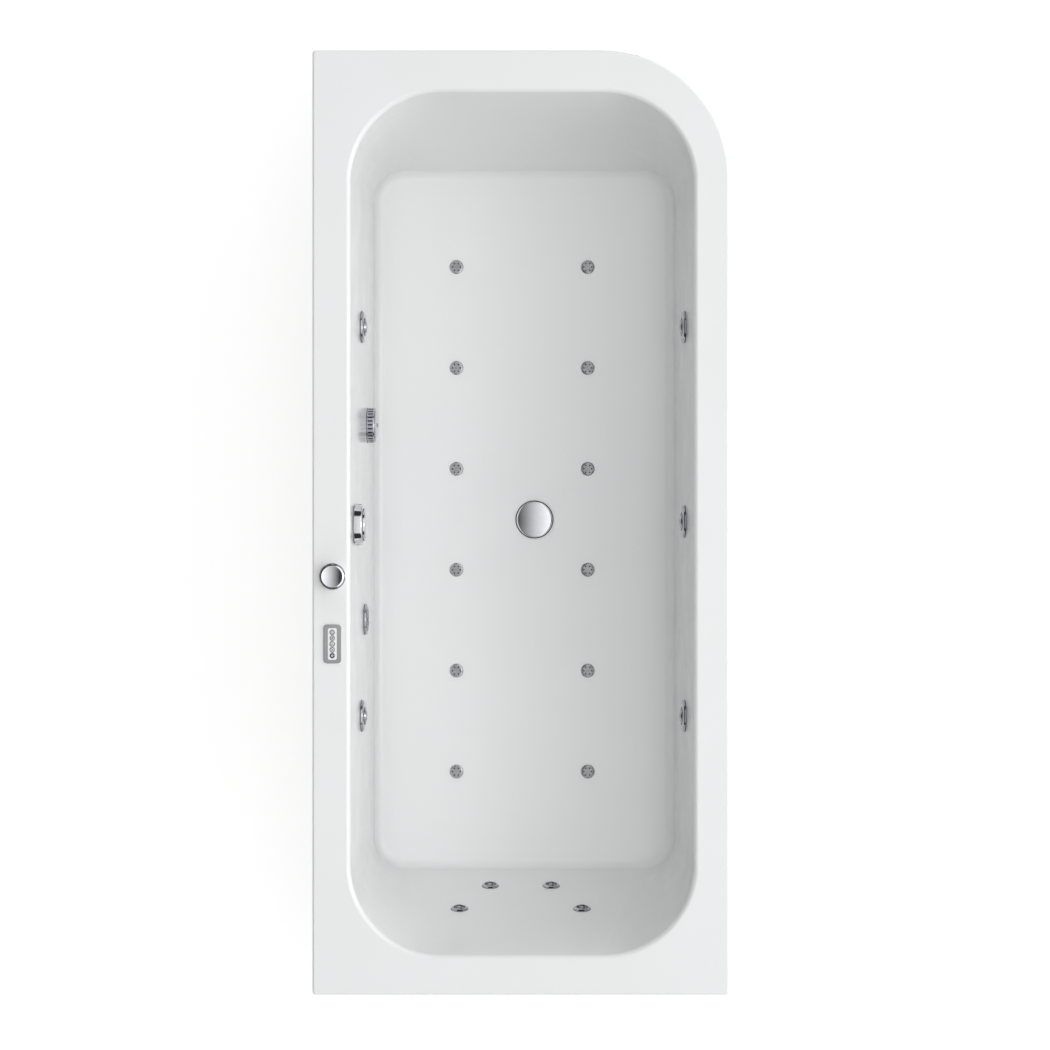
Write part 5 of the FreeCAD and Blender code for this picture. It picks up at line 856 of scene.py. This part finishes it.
def box_details():
    """The box's lid, screws and glands, with the bolts of the posts and the cross members."""
    screws = Piece("box_screws")
    for x in (-75, 75):
        for y in (-31, 31):
            screws.at(placed((BOX_X + x, BOX_Y + y, 214.8))).socket_screw(3.4, 1.9)
    for side in (-1, 1):
        x = RAIL_X * side
        for y in (-POST_Y, POST_Y):
            for level in (134, 152, 575):
                screws.at(placed((x + 12.5 * side, y, level), (0, 1, 0), (side, 0, 0)))
                screws.hex_bolt(5.0, 4.0, 7.5)
        for y in (-CROSS_Y, CROSS_Y):
            for step in (-11, 11):
                screws.at(placed((x, y + step, 50), (1, 0, 0), (0, 0, -1))).hex_bolt(5.0, 4.2, 7.6)
    screws.done("tub", "zinc")
    glands = Piece("gland_nuts")
    for step in (-1, 0, 1):
        base = placed((90, BOX_Y + 22 * step, 158), (0, 1, 0), (-1, 0, 0))
        glands.at(base).loft(hexagon(9.6, -0.4), hexagon(9.6, 3.6), circle(9.7, 4.2))
        glands.at(base).ribbed(5.0, 9.4, 5.4, 13.0, 16, 0.7)
        glands.lathe([(0, 6), (5.2, 6), (5.2, 14.2), (4.4, 14.8), (0, 15.0)], 32)
    glands.done("tub", "rubber")
    lid = Piece("box_lid_panel", placed((BOX_X, BOX_Y, 215)))
    lid.loft(round_rect(142, 54, 6, -1), round_rect(142, 54, 6, 0.9), round_rect(140, 52, 5, 1.6))
    lid.done("tub", "box_plastic")


def cradle_details():
    """Plugs in the open tube ends and pads between the posts and the rim."""
    plugs = Piece("tube_plugs")
    for x in (-RAIL_X, RAIL_X):
        for end in (-1, 1):
            plugs.at(placed((x, RAIL_END_Y * end, 100), (0, 0, 1), (0, end, 0)))
            plugs.slab(39.6, 29.6, 3, 0, 2.2, 0.8)
            plugs.slab(34.4, 24.4, 2, -9, 0.4, 0.5)
    for y in (-CROSS_Y, CROSS_Y):
        for end in (-1, 1):
            plugs.at(placed((CROSS_END_X * end, y, 65), (0, 1, 0), (end, 0, 0)))
            plugs.slab(39.6, 29.6, 3, 0, 2.0, 0.8)
    plugs.done("tub", "rubber")
    pads = Piece("post_pads")
    for x in (-RAIL_X, RAIL_X):
        for y in (-POST_Y, POST_Y):
            pads.at(placed((x, y, 591.8))).slab(48, 48, 4, 0, 3.1, 0.5)
    pads.done("tub", "steel_frame")


THREAD_RADIUS = 6.0
THREAD_DEPTH = 0.75
THREAD_PITCH = 2.5
THREAD_LOW = 16.0
THREAD_HIGH = 113.6
ROWS_PER_TURN = 5


def levelling_foot(number, x, y):
    """A foot with a rolled thread and a hexagon for the spanner, in place of the plain turned one."""
    place = placed((x, y, 0))
    foot = Piece(f"threaded_foot_{number}", place)
    foot.lathe([(0, 2.0), (24.6, 2.0), (25.0, 2.6), (25.0, 4.4), (23.8, 5.4), (14.0, 8.4), (9.0, 9.0),
                (0, 9.0)], 72)
    foot.loft(hexagon(8.0, 8.6), hexagon(8.2, 9.2), hexagon(8.2, 15.6), circle(7.6, 16.4))
    rows = int((THREAD_HIGH - THREAD_LOW) / THREAD_PITCH * ROWS_PER_TURN) + 1
    levels = [THREAD_LOW + THREAD_PITCH * row / ROWS_PER_TURN for row in range(rows)]

    def thread(angle, radius, level):
        if radius < THREAD_RADIUS:
            return radius
        phase = (level / THREAD_PITCH - angle / math.tau) % 1.0
        return THREAD_RADIUS - THREAD_DEPTH * (abs(phase * 2 - 1) ** 1.3)

    foot.lathe([(0, 15.5), (5.0, 15.5)] + [(THREAD_RADIUS, level) for level in levels]
               + [(4.8, 115.0), (0, 115.0)], 20, reach=thread)
    body = f"foot_{number}"
    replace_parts(foot.done(body, "zinc", 50), f"levelling_foot_{number}")
    sole = Piece(f"foot_sole_{number}", place)
    sole.lathe([(0, 0), (23.6, 0), (24.4, 0.5), (24.9, 1.4), (24.9, 2.1), (24.2, 2.3), (0, 2.3)], 72)
    sole.done(body, "rubber")


for number, place in enumerate(SIDE_JETS, 1):
    side_jet_details(number, place)
for number, place in enumerate(BACK_JETS, 1):
    back_jet_details(number, place)
air_jet_details()
waste_details()
overflow_details()
suction_details()
light_details()
knob_details()
panel_details()
pipe_details()
nut_details()
pump_details()
blower_details()
box_details()
cradle_details()
foot_spots = [(x, y) for y in (CROSS_Y, -CROSS_Y) for x in (-FOOT_X, FOOT_X)]
for number, (x, y) in enumerate(foot_spots, 1):
    levelling_foot(number, x, y)


# --- Camera, lamps and stage -----------------------------------------------------------------------

FRAME_PIXELS = 1050.0
RIM_HEIGHT = 0.6
CAMERA_ABOVE_RIM = 6.0
FRAME_WIDTH = 1.88895
CENTRE_SHIFT_PIXELS = (4.25, -2.5)
SENSOR_MM = 36.0

camera = bpy.data.objects.new("camera", bpy.data.cameras.new("camera"))
bpy.context.scene.collection.objects.link(camera)
camera.location = (0, 0, RIM_HEIGHT + CAMERA_ABOVE_RIM)
camera.data.sensor_width = SENSOR_MM
camera.data.lens = SENSOR_MM * CAMERA_ABOVE_RIM / FRAME_WIDTH
camera.data.shift_x = CENTRE_SHIFT_PIXELS[0] / FRAME_PIXELS
camera.data.shift_y = CENTRE_SHIFT_PIXELS[1] / FRAME_PIXELS
camera.data.clip_end = 60
bpy.context.scene.camera = camera


def area_lamp(name, place, aim, wide, tall, power, mirrored=False):
    """A rectangular lamp, in metres and watts, that shows in chrome only when it is mirrored."""
    lamp = bpy.data.lights.new(name, "AREA")
    lamp.shape = "RECTANGLE"
    lamp.size = wide
    lamp.size_y = tall
    lamp.energy = power
    thing = bpy.data.objects.new(name, lamp)
    bpy.context.scene.collection.objects.link(thing)
    thing.location = place
    way = Vector(aim) - Vector(place)
    thing.rotation_euler = way.to_track_quat("-Z", "Y").to_euler()
    thing.visible_camera = False
    thing.visible_glossy = mirrored


area_lamp("key_side", (3.6, 0.0, 2.4), (0, 0, 0.5), 1.4, 3.8, 35, mirrored=True)
area_lamp("fill_top", (0, 0, 7.4), (0, 0, 0.4), 3.0, 3.0, 126)
for end in (-1, 1):
    area_lamp(f"fill_end_{end}", (0, 5.6 * end, 2.9), (0, 0, 0.4), 3.0, 1.5, 52)

world = bpy.data.worlds.new("studio")
bpy.context.scene.world = world
world.use_nodes = True
tree = world.node_tree
sky = tree.nodes["Background"]
sky.inputs["Color"].default_value = (0.985, 0.99, 1.0, 1)


def world_range(source, start, end, low, high, kind="LINEAR"):
    made = tree.nodes.new("ShaderNodeMapRange")
    made.interpolation_type = kind
    made.inputs["From Min"].default_value = start
    made.inputs["From Max"].default_value = end
    made.inputs["To Min"].default_value = low
    made.inputs["To Max"].default_value = high
    tree.links.new(source, made.inputs["Value"])
    return made.outputs["Result"]


def world_math(kind, *values):
    made = tree.nodes.new("ShaderNodeMath")
    made.operation = kind
    for value, port in zip(values, made.inputs):
        if isinstance(value, float):
            port.default_value = value
        else:
            tree.links.new(value, port)
    return made.outputs[0]


# the room is bright on the +X side, dim on the other, dark towards both ends, and pale at the horizon
way = tree.nodes.new("ShaderNodeTexCoord")
split = tree.nodes.new("ShaderNodeSeparateXYZ")
tree.links.new(way.outputs["Generated"], split.inputs["Vector"])
across = world_range(split.outputs["X"], -0.48, 0.50, 0.06, 1.28)
ends = world_range(world_math("ABSOLUTE", split.outputs["Y"]), 0.68, 0.80, 1.0, 0.04, "SMOOTHSTEP")
room = world_math("MULTIPLY", across, ends)
near_horizon = world_range(split.outputs["Z"], 0.10, 0.16, 1.0, 0.0, "SMOOTHSTEP")
pale = world_math("MULTIPLY", near_horizon, 0.95)
kept = world_math("MULTIPLY", room, world_math("SUBTRACT", 1.0, near_horizon))
tree.links.new(world_math("ADD", pale, kept), sky.inputs["Strength"])


def floor_material():
    """White ground for the camera and for mirrored views, plain and pale for the light on the part."""
    material = bpy.data.materials.new("pale_floor")
    material.use_nodes = True
    tree = material.node_tree
    plain = tree.nodes["Principled BSDF"]
    plain.inputs["Base Color"].default_value = (0.8, 0.8, 0.8, 1)
    plain.inputs["Roughness"].default_value = 0.9
    plain.inputs["Specular IOR Level"].default_value = 0.1
    glow = tree.nodes.new("ShaderNodeEmission")
    glow.inputs["Color"].default_value = (1, 1, 1, 1)
    glow.inputs["Strength"].default_value = 0.8
    soft = tree.nodes.new("ShaderNodeBsdfDiffuse")
    soft.inputs["Color"].default_value = (0.3, 0.3, 0.3, 1)
    both = tree.nodes.new("ShaderNodeAddShader")
    tree.links.new(glow.outputs[0], both.inputs[0])
    tree.links.new(soft.outputs[0], both.inputs[1])
    rays = tree.nodes.new("ShaderNodeLightPath")
    seen = rays.outputs["Is Camera Ray"]
    for more in ("Is Glossy Ray", "Is Transmission Ray"):
        most = tree.nodes.new("ShaderNodeMath")
        most.operation = "MAXIMUM"
        tree.links.new(seen, most.inputs[0])
        tree.links.new(rays.outputs[more], most.inputs[1])
        seen = most.outputs[0]
    mixed = tree.nodes.new("ShaderNodeMixShader")
    tree.links.new(seen, mixed.inputs["Fac"])
    tree.links.new(plain.outputs[0], mixed.inputs[1])
    tree.links.new(both.outputs[0], mixed.inputs[2])
    tree.links.new(mixed.outputs[0], tree.nodes["Material Output"].inputs["Surface"])
    return material


FLOOR_REACH = 60.0
FLOOR_DROP = 0.0004


def stage_floor():
    mesh = bpy.data.meshes.new("studio_floor")
    corners = [(sx * FLOOR_REACH, sy * FLOOR_REACH, 0) for sx, sy in ((-1, -1), (1, -1), (1, 1), (-1, 1))]
    mesh.from_pydata(corners, [], [(0, 1, 2, 3)])
    thing = bpy.data.objects.new("studio_floor", mesh)
    bpy.context.scene.collection.objects.link(thing)
    thing.location.z = -FLOOR_DROP
    dress(thing, floor_material())


stage_floor()
bpy.context.scene.view_settings.view_transform = "Standard"
